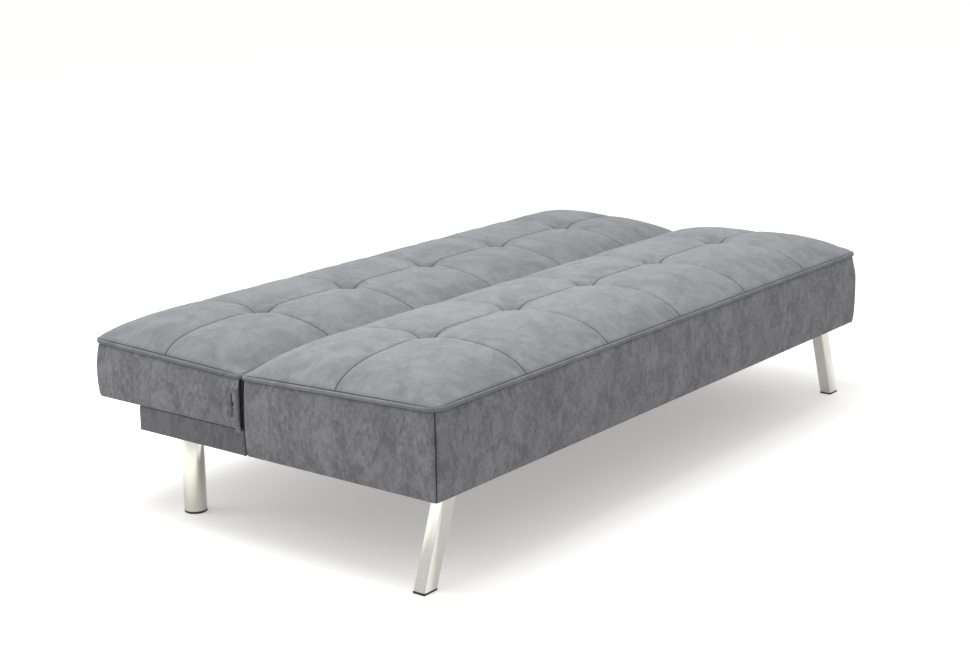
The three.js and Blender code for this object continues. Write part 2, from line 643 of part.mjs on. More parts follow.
// The pawl, drawn engaged and round the hinge pivot: an arm with a tooth at its free end.
function pawl() {
  const [x0, x1] = [BACK_PLATE_X, BACK_PLATE_X + HINGE_PLATE];
  const direction = notchDirection(0);
  const tipR = RATCHET_R + NOTCH_DEPTH + PAWL_TIP_R;
  const tip = [tipR * Math.cos(direction), tipR * Math.sin(direction)];
  const toothFrom = RATCHET_R - NOTCH_DEPTH + NOTCH_CLEARANCE;
  return link(PAWL_PIVOT, PAWL_BOSS_R, tip, PAWL_TIP_R, x0, x1)
    .add(radialBar(direction, toothFrom, tipR, NOTCH_WIDTH - 2 * NOTCH_CLEARANCE, x0, x1))
    .subtract(boreAt(PAWL_PIVOT, PAWL_PIN_R + FIT));
}

// A torsion spring round the pawl's pin, with one leg along the pawl and one along the plate.
function pawlSpring() {
  const x0 = BACK_PLATE_X - FIT - PAWL_SPRING_WIRE_R - PAWL_SPRING_LENGTH;
  const perTurn = 9;
  const count = PAWL_SPRING_TURNS * perTurn;
  const leg = 3 * PAWL_SPRING_R;
  const points = Array.from({ length: count + 1 }, (_, i) => {
    const turn = (i / perTurn) * 2 * Math.PI;
    const x = x0 + (PAWL_SPRING_LENGTH * i) / count;
    return new THREE.Vector3(x, PAWL_SPRING_R * Math.cos(turn), PAWL_SPRING_R * Math.sin(turn));
  });
  points.unshift(points[0].clone().add(new THREE.Vector3(0, 0, -leg)));
  points.push(points[points.length - 1].clone().add(new THREE.Vector3(0, 0, leg)));
  const section = new THREE.Shape();
  section.absarc(0, 0, PAWL_SPRING_WIRE_R, 0, 2 * Math.PI, false);
  return solid(new THREE.ExtrudeGeometry(section, {
    steps: count + 6,
    curveSegments: 2,
    extrudePath: new THREE.CatmullRomCurve3(points),
  }));
}

// ---------- assembly ----------

const sofaBed = new THREE.Group();

function addTo(parent, name, made, material) {
  const mesh = new THREE.Mesh(geometryOf(made), material());
  mesh.name = name;
  parent.add(mesh);
  return mesh;
}

const add = (name, made, material) => addTo(sofaBed, name, made, material);

// Adds a piece that is drawn at the +X end, and its mirror image at the other.
function addPair(name, made, material, right = sofaBed, left = sofaBed) {
  addTo(right, `${name}_right`, made, material);
  addTo(left, `${name}_left`, made.mirror([1, 0, 0]), material);
}

function addSeat() {
  const between = [seatInside[0] + RAIL + FIT, seatInside[1] - RAIL - FIT];
  const longRailX = RAIL_END_X - RAIL - FIT;
  add('seat_cover', seatCover(), greyFabric);
  add('seat_foam', seatFoam(), foam);
  const frontRail = railAlongX(longRailX, seatInside[0], TIMBER_BOTTOM, SEAT_RAIL_TOP);
  const centreRail = block([-RAIL / 2, RAIL / 2], between, [TIMBER_BOTTOM, SEAT_CROSS_RAIL_TOP]);
  add('seat_front_rail', frontRail, timber);
  add('seat_rear_rail', seatRearRail(), timber);
  addPair('seat_end_rail', seatEndRail(), timber);
  add('seat_centre_rail', centreRail, timber);
  for (let i = 0; i < SPRING_COUNT; i += 1) {
    const x = (LENGTH / SPRING_COUNT) * (i - (SPRING_COUNT - 1) / 2);
    add(`seat_spring_${i + 1}`, zigzagSpring(x), springSteel);
  }
  const blockY = between[0] + LEG_BLOCK[1] / 2;
  const blockTop = TIMBER_BOTTOM + FRONT_BLOCK_HEIGHT;
  addPair('front_leg_block', legBlock(FRONT_TOP_X, blockY, blockTop), timber);
  const cutouts = [1, -1].map((sign) => plateCutout(sign * FRONT_TOP_X, FRONT_LEG_Y));
  add('seat_dust_cloth', dustCloth(...seatInside, SEAT_BOTTOM, cutouts), darkCloth);
}

function addBase() {
  const longRailX = BASE_END_X - RAIL - FIT;
  const baseRail = (y) => railAlongX(longRailX, y, TIMBER_BOTTOM, BASE_RAIL_TOP);
  add('base_cover', baseCover(), baseFabric);
  add('base_front_rail', baseRail(baseInside[0]).subtract(baseBoltHoles()), timber);
  add('base_rear_rail', baseRail(baseInside[1] - RAIL), timber);
  addPair('base_end_rail', baseEndRail(), timber);
  add('base_top_panel', basePanel(), board);
  addPair('rear_leg_block', legBlock(REAR_LEG_X, REAR_LEG_Y - FIT, BASE_RAIL_TOP), timber);
  const cutouts = [1, -1].map((sign) => plateCutout(sign * REAR_LEG_X, REAR_LEG_Y));
  add('base_dust_cloth', dustCloth(...baseInside, SEAT_BOTTOM, cutouts), darkCloth);
  addPair('base_bolt', baseBolt(BASE_BOLT_FROM_MIDDLE), zincSteel);
}

function addLegs() {
  addPair('front_leg', frontLeg(), satinSteel);
  addPair('front_foot_cap', frontFootCap(), blackPlastic);
  addPair('rear_leg', rearLeg(), satinSteel);
  addPair('rear_leg_plate', rearLegPlate(), zincSteel);
  addPair('rear_foot_cap', rearFootCap(), blackPlastic);
}

function addBackrest() {
  const between = [backInside[0] + RAIL + FIT, backInside[1] - RAIL - FIT];
  const rails = [BACK_TIMBER_BOTTOM, BACK_RAIL_TOP];
  add('back_cover', backCover(), greyFabric);
  add('back_foam', backFoam(), foam);
  add('back_hinge_rail', railAlongX(BACK_PLATE_X - FIT, backInside[0], ...rails), timber);
  add('back_outer_rail', railAlongX(
    RAIL_END_X - BACK_END_RAIL - FIT, backInside[1] - RAIL, ...rails,
  ), timber);
  addPair('back_end_rail', backEndRail(), timber);
  add('back_centre_rail', block([-RAIL / 2, RAIL / 2], between, rails), timber);
  for (let i = 0; i < WEBBING_COUNT; i += 1) {
    add(`back_webbing_${i + 1}`, webbingStrap(i), webbing);
  }
  add('back_dust_cloth', dustCloth(...backInside, BACK_BOTTOM), darkCloth);
}

// Groups whose origin is the hinge pivot, and inside them the pawl's own pivot.
function addHinges() {
  const pivot = new THREE.Group();
  pivot.position.set(0, CREASE_Y, HINGE_PIVOT_Z);
  sofaBed.add(pivot);
  const pawlPivot = new THREE.Group();
  pawlPivot.position.set(0, ...PAWL_PIVOT);
  pivot.add(pawlPivot);
  const lifted = new THREE.Group();
  lifted.rotation.x = -toRadians(PAWL_LIFT);
  pawlPivot.add(lifted);
  const fromPawlPivot = pawl().translate([0, -PAWL_PIVOT[0], -PAWL_PIVOT[1]]);
  addPair('hinge_seat_plate', hingeSeatPlate(), zincSteel, pivot, pivot);
  addPair('hinge_back_plate', hingeBackPlate(), zincSteel, pivot, pivot);
  addPair('hinge_pin', pin(HINGE_PIN_R, PIN_INNER_X), zincSteel, pivot, pivot);
  addPair('pawl_pin', pin(PAWL_PIN_R, PAWL_PIN_INNER_X), zincSteel, pawlPivot, pawlPivot);
  addPair('pawl_spring', pawlSpring(), springSteel, pawlPivot, pawlPivot);
  addPair('pawl', fromPawlPivot, zincSteel, lifted, lifted);
}

addSeat();
addBase();
addLegs();
addBackrest();
addHinges();

export default sofaBed;
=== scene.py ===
"""A click-clack sofa bed in grey velvet, lying open as a flat bed.

Metres, +Z up. X runs along the length, the seat's front edge faces -Y, and the backrest lies on the +Y side
of the crease on a low base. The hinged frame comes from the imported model; this file adds the upholstery,
the legs and every finish.
"""

import json
import math

import bmesh
import bpy
import numpy as np
from mathutils import Matrix, Vector

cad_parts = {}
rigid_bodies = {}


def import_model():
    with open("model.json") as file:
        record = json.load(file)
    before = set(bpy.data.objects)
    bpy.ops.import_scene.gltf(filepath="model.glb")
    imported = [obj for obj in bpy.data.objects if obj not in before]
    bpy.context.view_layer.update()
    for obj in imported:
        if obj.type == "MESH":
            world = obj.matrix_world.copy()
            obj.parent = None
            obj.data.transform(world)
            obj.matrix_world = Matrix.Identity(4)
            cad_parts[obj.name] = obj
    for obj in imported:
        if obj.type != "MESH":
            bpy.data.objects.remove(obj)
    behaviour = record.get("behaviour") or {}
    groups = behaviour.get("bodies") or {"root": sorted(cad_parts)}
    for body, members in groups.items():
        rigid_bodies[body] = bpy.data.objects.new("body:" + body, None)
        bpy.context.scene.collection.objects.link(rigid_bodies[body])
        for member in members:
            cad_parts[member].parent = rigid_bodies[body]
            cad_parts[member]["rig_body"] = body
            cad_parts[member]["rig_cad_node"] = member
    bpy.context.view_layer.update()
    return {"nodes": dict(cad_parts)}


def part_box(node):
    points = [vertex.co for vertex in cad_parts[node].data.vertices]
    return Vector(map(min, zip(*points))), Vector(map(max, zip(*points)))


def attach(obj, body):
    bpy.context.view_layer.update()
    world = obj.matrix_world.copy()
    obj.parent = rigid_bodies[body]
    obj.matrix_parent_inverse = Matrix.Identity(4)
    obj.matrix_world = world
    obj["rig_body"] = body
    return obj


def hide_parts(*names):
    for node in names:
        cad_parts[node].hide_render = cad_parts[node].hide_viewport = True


bl_info = {
    "name": "Click-Clack Sofa Bed",
    "version": (1, 0, 0),
    "blender": (4, 5, 0),
    "location": "View3D > Sidebar > Sofa Bed",
    "description": "Builds the upholstery, legs and finishes of a click-clack sofa bed",
    "category": "Add Mesh",
}

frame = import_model()

SIDES = {"left": -1, "right": 1}
MM = 0.001


# ---------- settings ----------


def length(name, description, default):
    """A size in metres that a user may change."""
    return bpy.props.FloatProperty(
        name=name, description=description, default=default, min=0, unit="LENGTH", precision=4
    )


def colour(name, description, default):
    """A linear colour that a user may change."""
    return bpy.props.FloatVectorProperty(
        name=name, description=description, default=default, size=3, min=0, max=1, subtype="COLOR"
    )


def panel_count(name, description, default):
    """A number of quilted panels that a user may change."""
    return bpy.props.IntProperty(name=name, description=description, default=default, min=1)


def strength(name, description, default, **more):
    """A power or a share that a user may change."""
    return bpy.props.FloatProperty(name=name, description=description, default=default, min=0, **more)


def camera_turn(name, description, degrees):
    """An angle of the camera that a user may change."""
    return bpy.props.FloatProperty(
        name=name, description=description, default=math.radians(degrees), subtype="ANGLE"
    )


class CushionSettings(bpy.types.PropertyGroup):
    columns: panel_count("Columns", "Quilted panels along the length", 6)
    rows: panel_count("Rows", "Quilted panels across the depth", 2)
    side_bulge: length("Side bulge", "How far a filled wall stands out of its seams", 6 * MM)
    crease_gap: length("Crease gap", "Open space between the seat and backrest walls", 8 * MM)
    plan_corner: length("Plan corner", "Corner radius of the seat's top, at its front", 30 * MM)
    tight_corner: length("Tight corner", "Corner radius of every other corner", 9 * MM)
    welt: length("Welt", "Radius of the sewn roll round the top", 5 * MM)
    pillow: length("Pillow", "Swell of a panel between its stitch lines", 7 * MM)
    tuft: length("Tuft depth", "How deep the stitch lines are pulled down where they cross", 20 * MM)
    tuft_reach: length("Tuft reach", "Radius of the hollow round a tuft", 33 * MM)
    pinch: length("Pinch depth", "Extra depth of the stitched point itself", 4 * MM)
    pinch_reach: length("Pinch reach", "Radius of the stitched point", 9 * MM)
    groove: length("Groove depth", "Depth of a stitch line", 1.6 * MM)
    groove_reach: length("Groove reach", "Half-width of a stitch line's hollow", 2.8 * MM)


class FabricSettings(bpy.types.PropertyGroup):
    velvet_dark: colour("Velvet, dark", "The nap where it lies away", (0.176, 0.180, 0.192))
    velvet_light: colour("Velvet, light", "The nap where it catches the light", (0.256, 0.261, 0.275))
    wall_dark: colour("Wall, dark", "The nap on the side walls, where it lies away", (0.118, 0.118, 0.128))
    wall_light: colour("Wall, light", "The same, where it catches the light", (0.31, 0.31, 0.325))
    base_dark: colour("Base fabric, dark", "Flat fabric of the rear base", (0.092, 0.093, 0.099))
    base_light: colour("Base fabric, light", "Flat fabric of the rear base", (0.188, 0.190, 0.198))
    # A darker copy of the seat's velvet for the backrest's top: painted shade.
    backrest_painted_shade: strength("Backrest tone", "The backrest's top, as a share of the seat's", 0.88, max=1.2)
    sheen: strength("Sheen", "Soft light on the velvet's edge", 0.25, max=1)


class MetalSettings(bpy.types.PropertyGroup):
    satin: colour("Satin steel", "Brushed front legs", (0.95, 0.925, 0.87))
    polished: colour("Polished steel", "Round rear legs", (0.74, 0.715, 0.65))
    leg_edge: length("Leg edge", "Radius on the square legs' long edges", 2.6 * MM)
    rear_leg_wall: length("Rear leg wall", "Tube thickness", 1.6 * MM)
    foot_pad: length("Foot pad", "Height of a rear foot cap under its tube", 4.7 * MM)


class StageSettings(bpy.types.PropertyGroup):
    lens: bpy.props.FloatProperty(
        name="Lens", description="Focal length on a 36 mm sensor", default=67.375, subtype="DISTANCE_CAMERA"
    )
    camera_place: bpy.props.FloatVectorProperty(
        name="Camera", description="Where the camera stands", default=(-3.3972, -2.5392, 1.3647),
        size=3, subtype="TRANSLATION", unit="LENGTH"
    )
    azimuth: camera_turn("Azimuth", "Turn round the bed; 0 looks along +Y", -52.408)
    elevation: camera_turn("Elevation", "Height above the horizon", 14.072)
    roll: camera_turn("Roll", "Camera roll", -0.670)
    key_power: strength("Key light", "Power of the large softbox overhead", 68, unit="POWER")
    fill_power: strength("Fill light", "Power of the softbox behind the backrest", 15, unit="POWER")
    floor_glow: strength("Floor glow", "How far the floor's shadows are lifted", 0.32)
    mirror_glow: strength("Mirror glow", "Light of the open floor as the steel reflects it", 0.2)
    sky: strength("Sky", "Light from the white surroundings on matt surfaces", 0.7)


# ---------- cushion geometry ----------

TOLERANCE = 1e-6
CELL_STEPS = (52, 42)  # mesh steps in one quilted panel, along and across
LINE_CLUSTER = 0.74  # how strongly the mesh gathers at the stitch lines
WELT_STEPS = 8
WELT_ARC = 78  # degrees that the welt turns above and below its seam
WELT_REACH = 0.62  # how far the welt's section stands out, as a share of its radius
WELT_INSET = 0.8 * MM  # a full welt stands this much less than its radius proud
WALL_STEPS = 22
WALL_GAP = 1.4 * MM  # from the welt down to the wall
WALL_HEM = 3 * MM  # from the wall's foot down to the underside
UNDERSIDE = ((-1, 1), (-3, 0), (-24, 0), (-25, 1))  # each loop's shift out and height, in mm
SEAM_RISE = 5.2 * MM  # from a seam's height up to the stitches above its welt
FILM = 0.4 * MM  # fabric stays this far inside its outline
SLACK = 0.24 * MM  # the seams stand this much nearer the outline than a wall's fullness
STITCH_SET_BACK = 1.35 * MM  # from the top's edge in to the stitches beside the welt
END_REACH = 90 * MM  # how far from the bed's ends the crease opens
FAR_FROM_SEAM = 20 * MM

CLOTH_STEPS = (24, 20)  # the simulated cloth's steps in one panel, along and across
CLOTH_FRAMES = 20
CLOTH_START = 0.35  # share of the swell that the cloth starts with
CLOTH_MIDDLE = 0.26  # how far a panel's middle reaches, as a share of the panel
CLOTH_LIMIT = 1.5  # no point moves more than this many swells
CLOTH = {
    "vertex_group_mass": "stitched", "quality": 6, "use_pressure": True, "uniform_pressure_force": 4.0,
    "shrink_min": -0.012, "shrink_max": -0.012, "tension_stiffness": 18, "compression_stiffness": 12,
    "shear_stiffness": 6, "bending_stiffness": 0.6,
}


class Shoulder:
    """How the top rises from one edge: a quick roll over the seam, then a slow crown."""

    def __init__(self, roll, roll_reach, crown, crown_reach):
        self.roll, self.roll_reach = roll * MM, roll_reach * MM
        self.crown, self.crown_reach = crown * MM, crown_reach * MM

    def height(self, distance):
        rolled = self.roll * (1 - np.exp(-distance / self.roll_reach))
        return rolled + self.crown * (1 - np.exp(-distance / self.crown_reach))


class Cushion:
    """The sizes of one cushion, read from its CAD cover. A pair is for the low and the high edge in Y."""

    def __init__(self, s, cover, foam, seams, shoulders, end_shoulder, rise, free_way, free_corner):
        low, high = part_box(cover)
        self.fullness = s.side_bulge - SLACK
        free = (free_way < 0, free_way > 0)
        self.x = (low.x + self.fullness, high.x - self.fullness)
        self.y = (low.y + self.fullness * free[0], high.y - self.fullness * free[1])
        self.corners = tuple(free_corner if edge else s.tight_corner for edge in free)
        self.low_corners = (s.tight_corner, s.tight_corner)
        self.seams, self.shoulders, self.end_shoulder = seams, shoulders, end_shoulder
        self.rise, self.free_way = rise, free_way
        self.bottom, self.hollow_top = low.z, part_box(foam)[0].z
        self.columns, self.rows = s.columns, s.rows

    def seam_height(self, y):
        share = (y - self.y[0]) / (self.y[1] - self.y[0])
        return self.seams[0] + (self.seams[1] - self.seams[0]) * share

    def cell(self):
        return (self.x[1] - self.x[0]) / self.columns, (self.y[1] - self.y[0]) / self.rows

    def grid(self, along, across):
        """Grids of panel coordinates, and of their places on the flat plan."""
        along, across = np.meshgrid(along, across)
        cell_x, cell_y = self.cell()
        return along, across, self.x[0] + along * cell_x, self.y[0] + across * cell_y

    def plan_corners(self, radii):
        """Each corner of the plan: its edges, the ways that lead in from them, and its radius."""
        for edge_x, way_x in zip(self.x, (1, -1)):
            for edge_y, way_y, radius in zip(self.y, (1, -1), radii):
                yield edge_x, way_x, edge_y, way_y, radius

    def crowned(self, x, y):
        """The top's height without its panels' swell: a crown that falls away to every seam."""
        shape = np.ones_like(x)
        for distance, shoulder in (
            (x - self.x[0], self.end_shoulder),
            (self.x[1] - x, self.end_shoulder),
            (y - self.y[0], self.shoulders[0]),
            (self.y[1] - y, self.shoulders[1]),
        ):
            shape = shape * shoulder.height(np.maximum(distance, 0)) / self.rise
        return self.seam_height(y) + SEAM_RISE + self.rise * shape


def gathered(cells, steps):
    """Panel coordinates from 0 to cells, closer together at each whole number."""
    at = np.arange(cells * steps + 1) / steps
    share = at - np.floor(at)
    return np.floor(at) + share - LINE_CLUSTER * np.sin(2 * np.pi * share) / (2 * np.pi)


def from_whole(values):
    """How far each value is from the nearest whole number."""
    return np.abs(values - np.round(values))


def rounded_plan(cushion, x, y, corners):
    """Moves the points near each plan corner so that the outline turns on an arc."""
    x, y = x.copy(), y.copy()
    for edge_x, way_x, edge_y, way_y, radius in cushion.plan_corners(corners):
        u = 1 - (x - edge_x) * way_x / radius
        v = 1 - (y - edge_y) * way_y / radius
        inside = (u > 0) & (v > 0)
        turned_u = u * np.sqrt(np.maximum(1 - v * v / 2, 0))
        turned_v = v * np.sqrt(np.maximum(1 - u * u / 2, 0))
        x[inside] = (edge_x + way_x * radius * (1 - turned_u))[inside]
        y[inside] = (edge_y + way_y * radius * (1 - turned_v))[inside]
    return x, y


def outward(cushion, x, y):
    """Unit vectors that point out of the plan outline at points on it."""
    centre_x, centre_y = x.copy(), y.copy()
    for edge_x, way_x, edge_y, way_y, radius in cushion.plan_corners(cushion.corners):
        near = ((x - edge_x) * way_x < radius) & ((y - edge_y) * way_y < radius)
        centre_x[near] = edge_x + way_x * radius
        centre_y[near] = edge_y + way_y * radius
    normal = np.stack([x - centre_x, y - centre_y], 1)
    straight = np.linalg.norm(normal, axis=1) < TOLERANCE
    for place, edges, axis in ((x, cushion.x, (1, 0)), (y, cushion.y, (0, 1))):
        for edge, way in zip(edges, (-1, 1)):
            normal[straight & (np.abs(place - edge) < TOLERANCE)] = np.multiply(axis, way)
    return normal / np.maximum(np.linalg.norm(normal, axis=1), 1e-9)[:, None]


def ring_of(rows, columns):
    """Indices round the border of a grid of rows x columns points, anticlockwise from above."""
    grid = np.arange(rows * columns).reshape(rows, columns)
    return np.concatenate([grid[0, :-1], grid[:-1, -1], grid[-1, :0:-1], grid[:0:-1, 0]])


def grid_faces(rows, columns):
    """The quads of a grid of rows x columns points."""
    corner = (np.arange(rows - 1)[:, None] * columns + np.arange(columns - 1)).ravel()
    return np.stack([corner, corner + 1, corner + columns + 1, corner + columns], 1).tolist()


def panel_swell(along, across):
    """The analytic swell of a panel between its stitch lines, 0 on the lines and 1 in the middle."""
    return (np.abs(np.sin(np.pi * along)) * np.abs(np.sin(np.pi * across))) ** 0.85


def cubic_weights(steps, at):
    """A matrix that reads a row of steps + 1 evenly spaced values at each place in at, from 0 to steps."""
    weights = np.zeros((len(at), steps + 1))
    base = np.clip(np.floor(at).astype(int), 0, steps - 1)
    t = at - base
    parts = (
        (-1, -0.5 * t + t**2 - 0.5 * t**3),
        (0, 1 - 2.5 * t**2 + 1.5 * t**3),
        (1, 0.5 * t + 2 * t**2 - 1.5 * t**3),
        (2, -0.5 * t**2 + 0.5 * t**3),
    )
    for offset, value in parts:
        np.add.at(weights, (np.arange(len(at)), np.clip(base + offset, 0, steps)), value)
    return weights


def simulated_swell(cushion, s, name):
    """Blows up a cloth pinned along its stitch lines, and returns how each point of it moved."""
    steps = [np.arange(cells * n + 1) / n for cells, n in zip((cushion.columns, cushion.rows), CLOTH_STEPS)]
    along, across, x, y = cushion.grid(*steps)
    start = panel_swell(along, across) * s.pillow * CLOTH_START
    points = np.stack([x, y, cushion.crowned(x, y) + start], -1).reshape(-1, 3)
    mesh = bpy.data.meshes.new(name + "_cloth")
    mesh.from_pydata(points.tolist(), [], grid_faces(*x.shape))
    cloth = bpy.data.objects.new(name + "_cloth", mesh)
    scene = bpy.context.scene
    scene.collection.objects.link(cloth)
    pinned = np.minimum(from_whole(along), from_whole(across)) < TOLERANCE
    group = cloth.vertex_groups.new(name="stitched")
    group.add(np.flatnonzero(pinned.ravel()).tolist(), 1.0, "REPLACE")
    modifier = cloth.modifiers.new("Cloth", "CLOTH")
    for key, value in CLOTH.items():
        setattr(modifier.settings, key, value)
    modifier.settings.effector_weights.gravity = 0
    modifier.point_cache.frame_start = 1
    modifier.point_cache.frame_end = CLOTH_FRAMES
    for frame_number in range(1, CLOTH_FRAMES + 1):
        scene.frame_set(frame_number)
    result = cloth.evaluated_get(bpy.context.evaluated_depsgraph_get())
    moved = np.zeros(points.size)
    result.data.vertices.foreach_get("co", moved)
    shift = moved.reshape(-1, 3) - points
    scene.frame_set(1)
    bpy.data.objects.remove(cloth)
    bpy.data.meshes.remove(mesh)
    shift[:, 2] += start.ravel()
    middle = (np.abs(along % 1 - 0.5) < CLOTH_MIDDLE) & (np.abs(across % 1 - 0.5) < CLOTH_MIDDLE)
    shift *= s.pillow / max(np.median(shift[middle.ravel(), 2]), MM)
    size = np.linalg.norm(shift, axis=1)
    shift *= np.minimum(1, CLOTH_LIMIT * s.pillow / np.maximum(size, 1e-9))[:, None]
    return shift.reshape(*x.shape, 3)


def low_wave(*terms):
    """A smooth wobble from -1 to 1: each term is (value, wavelength, phase)."""
    total = sum(np.sin(2 * np.pi * value / wavelength + phase) for value, wavelength, phase in terms)
    return total / len(terms)


def quilted_top(cushion, s, swell):
    """Grids of the top: its flat plan, its points, the way to a stitch line, and how deep in a tuft's
    hollow each point lies, a mask for painted shade.
    """
    along = gathered(cushion.columns, CELL_STEPS[0])
    across = gathered(cushion.rows, CELL_STEPS[1])
    grid_along, grid_across, flat_x, flat_y = cushion.grid(along, across)
    x, y, z = flat_x, flat_y, cushion.crowned(flat_x, flat_y)
    if swell is None:
        z = z + panel_swell(grid_along, grid_across) * s.pillow
    else:
        read_along = cubic_weights(cushion.columns * CLOTH_STEPS[0], along * CLOTH_STEPS[0])
        read_across = cubic_weights(cushion.rows * CLOTH_STEPS[1], across * CLOTH_STEPS[1])
        moved = np.einsum("ai,ijk,bj->abk", read_across, swell, read_along)
        x, y, z = x + moved[..., 0], y + moved[..., 1], z + moved[..., 2]
    cell_x, cell_y = cushion.cell()
    seam = np.minimum(from_whole(grid_along) * cell_x, from_whole(grid_across) * cell_y)
    edge_x = np.minimum(flat_x - cushion.x[0], cushion.x[1] - flat_x)
    edge = np.minimum(edge_x, np.minimum(flat_y - cushion.y[0], cushion.y[1] - flat_y))
    z -= s.groove * np.exp(-((seam / s.groove_reach) ** 2)) * (1 - 0.6 * np.exp(-edge / (18 * MM)))
    hollow = np.zeros_like(z)
    for column in range(1, cushion.columns):
        for row in range(1, cushion.rows):
            reach_x, reach_y = (grid_along - column) * cell_x, (grid_across - row) * cell_y
            away, turn = np.hypot(reach_x, reach_y), np.arctan2(reach_y, reach_x)
            pull = 1 + 0.16 * np.cos(4 * turn + 0.7 * column) * np.exp(-away / s.tuft_reach)
            z -= s.tuft * np.exp(-((away / (s.tuft_reach * pull)) ** 2))
            z -= s.pinch * np.exp(-((away / s.pinch_reach) ** 2))
            # A mask of each tuft's hollow, which the velvet darkens as painted shade.
            hollow += np.exp(-((away / (0.62 * s.tuft_reach)) ** 2))
    x, y = rounded_plan(cushion, x, y, cushion.corners)
    return (flat_x, flat_y), np.stack([x, y, z], -1), np.minimum(seam, edge + STITCH_SET_BACK), hollow


class Rim:
    """The border of a cushion's top as one loop of points, and what the walls below it follow."""

    def __init__(self, cushion, s, flat, top):
        rows, columns = flat[0].shape
        self.index = ring_of(rows, columns)
        self.points = top[self.index]
        self.count = len(self.index)
        square = [values.ravel()[self.index] for values in flat]
        self.normal = outward(cushion, *rounded_plan(cushion, *square, cushion.corners))
        self.low = np.column_stack(rounded_plan(cushion, *square, cushion.low_corners))
        step = np.linalg.norm(np.diff(self.points, axis=0, append=self.points[:1]), axis=1)
        self.run = np.concatenate([[0], np.cumsum(step)[:-1]])
        lap = self.run[-1] + step[-1]
        corners = self.run[[0, columns - 1, columns + rows - 2, 2 * columns + rows - 3]]
        self.from_corner = np.abs((self.run[:, None] - corners + lap / 2) % lap - lap / 2).min(axis=1)
        self.crease_side = np.clip(-self.normal[:, 1] * cushion.free_way, 0, 1) ** 2
        from_end = np.minimum(self.points[:, 0] - cushion.x[0], cushion.x[1] - self.points[:, 0])
        self.near_end = np.exp(-((from_end / END_REACH) ** 2))
        self.seam_z = cushion.seam_height(self.points[:, 1])
        self.welt_foot, self.hollow_top = self.seam_z - s.welt, cushion.hollow_top

    def loop(self, out, z):
        """The outline at a height, moved out; its corners tighten from the seam down to the rails."""
        down = np.clip((self.welt_foot - z) / (self.welt_foot - self.hollow_top), 0, 1)
        tight = (down * down * (3 - 2 * down))[:, None]
        place = self.points[:, :2] * (1 - tight) + self.low * tight + self.normal * np.reshape(out, (-1, 1))
        return np.column_stack([place, z * np.ones(self.count)])


def wall_loops(cushion, s, rim):
    """Loops of points down the welt, the walls and the underside, and each one's distances from a seam."""
    loops, seams = [], []

    def add(out, z, seam):
        loops.append(rim.loop(out, z))
        seams.append(seam * np.ones(rim.count))

    run, crease_side, near_end = rim.run, rim.crease_side, rim.near_end
    welt_out = s.welt - WELT_INSET - crease_side * (s.welt - WELT_INSET - s.crease_gap / 2 + FILM)
    pucker = 0.5 * MM * low_wave((run, 0.031, 0.3), (run, 0.019, 1.9), (run, 0.047, 4.1))
    for k in range(WELT_STEPS):
        angle = math.radians(WELT_ARC * (1 - 2 * (k + 0.5) / WELT_STEPS))
        out = welt_out - s.welt * WELT_REACH * (1 - math.cos(angle)) + pucker * math.cos(angle)
        add(out, rim.seam_z + s.welt * math.sin(angle), 3 * MM * (1 + math.cos(angle)))

    wall_top, wall_bottom = rim.welt_foot - WALL_GAP, cushion.bottom + WALL_HEM
    # The loop just under the welt is darkened through the seam mask, and the wall's top few millimetres
    # below it the same way: a painted shadow under the welt.
    add(-WELT_INSET, wall_top + WALL_GAP / 2, 1 * MM)
    bulge = cushion.fullness * (1 - crease_side)
    tuck = 1.6 * MM * np.exp(-((rim.from_corner / (7 * MM)) ** 2)) * (1 - crease_side)
    # Dark lines down the walls' upright corners are seams; the walls facing into the crease are painted
    # nearly black within about a centimetre of the bed's ends, as shade.
    corner_seam_and_crease_shade = np.where(crease_side > 0.25, 0.4 * MM + 0.1 * (1 - near_end), rim.from_corner)
    for share in np.arange(WALL_STEPS + 1) / WALL_STEPS:
        eased = share - 0.12 * math.sin(2 * math.pi * share) / (2 * math.pi)
        fullness = (4 * eased * (1 - eased)) ** 0.55
        z = wall_top - (wall_top - wall_bottom) * eased
        ripple = low_wave(
            (run + 0.3 * z, 0.19, 0.5), (run - 0.2 * z, 0.113, 2.2), (run + 0.5 * z, 0.41, 1.0)
        )
        hollow = 0.5 * (1 + ripple) * fullness * (1 - near_end) + (0.9 + 2.4 * fullness) * near_end
        out = bulge * (fullness * (1 + 0.16 * ripple) - 0.02) - tuck * (0.25 + 0.75 * fullness)
        out = out - crease_side * (FILM + hollow * MM)
        add(out, z, np.minimum(corner_seam_and_crease_shade, 2.5 * MM + wall_top - z))

    for out, lift in UNDERSIDE:
        add(out * MM, cushion.bottom + lift * MM, FAR_FROM_SEAM)
    add(UNDERSIDE[-1][0] * MM, cushion.hollow_top, FAR_FROM_SEAM)
    return loops, seams


def cut_pocket(loops, rim, way, low, high, depth):
    """Moves the crease's wall in between two corners, (x, z), at each end of the bed, for the hinge."""
    for loop in loops:
        x, z = np.abs(loop[:, 0]), loop[:, 2]
        reached = (rim.crease_side > 0.9) & (x > low[0]) & (x < high[0]) & (z > low[1]) & (z < high[1])
        loop[reached, 1] += way * depth


def cut_slit(loops, seams, rim, slit_y):
    """Sinks a puckered slit into each end wall, and paints its inside dark as shade through the seam mask.
    """
    for loop, seam in zip(loops, seams):
        across = np.exp(-(((loop[:, 1] - slit_y) / SLIT_REACH) ** 2)) * np.abs(rim.normal[:, 0])
        sunk = slit_lens(loop[:, 2]) * across
        loop[:, 0] -= rim.normal[:, 0] * SLIT_DEPTH * sunk
        seam *= np.clip(1.4 - 3.6 * sunk, 0, 1)


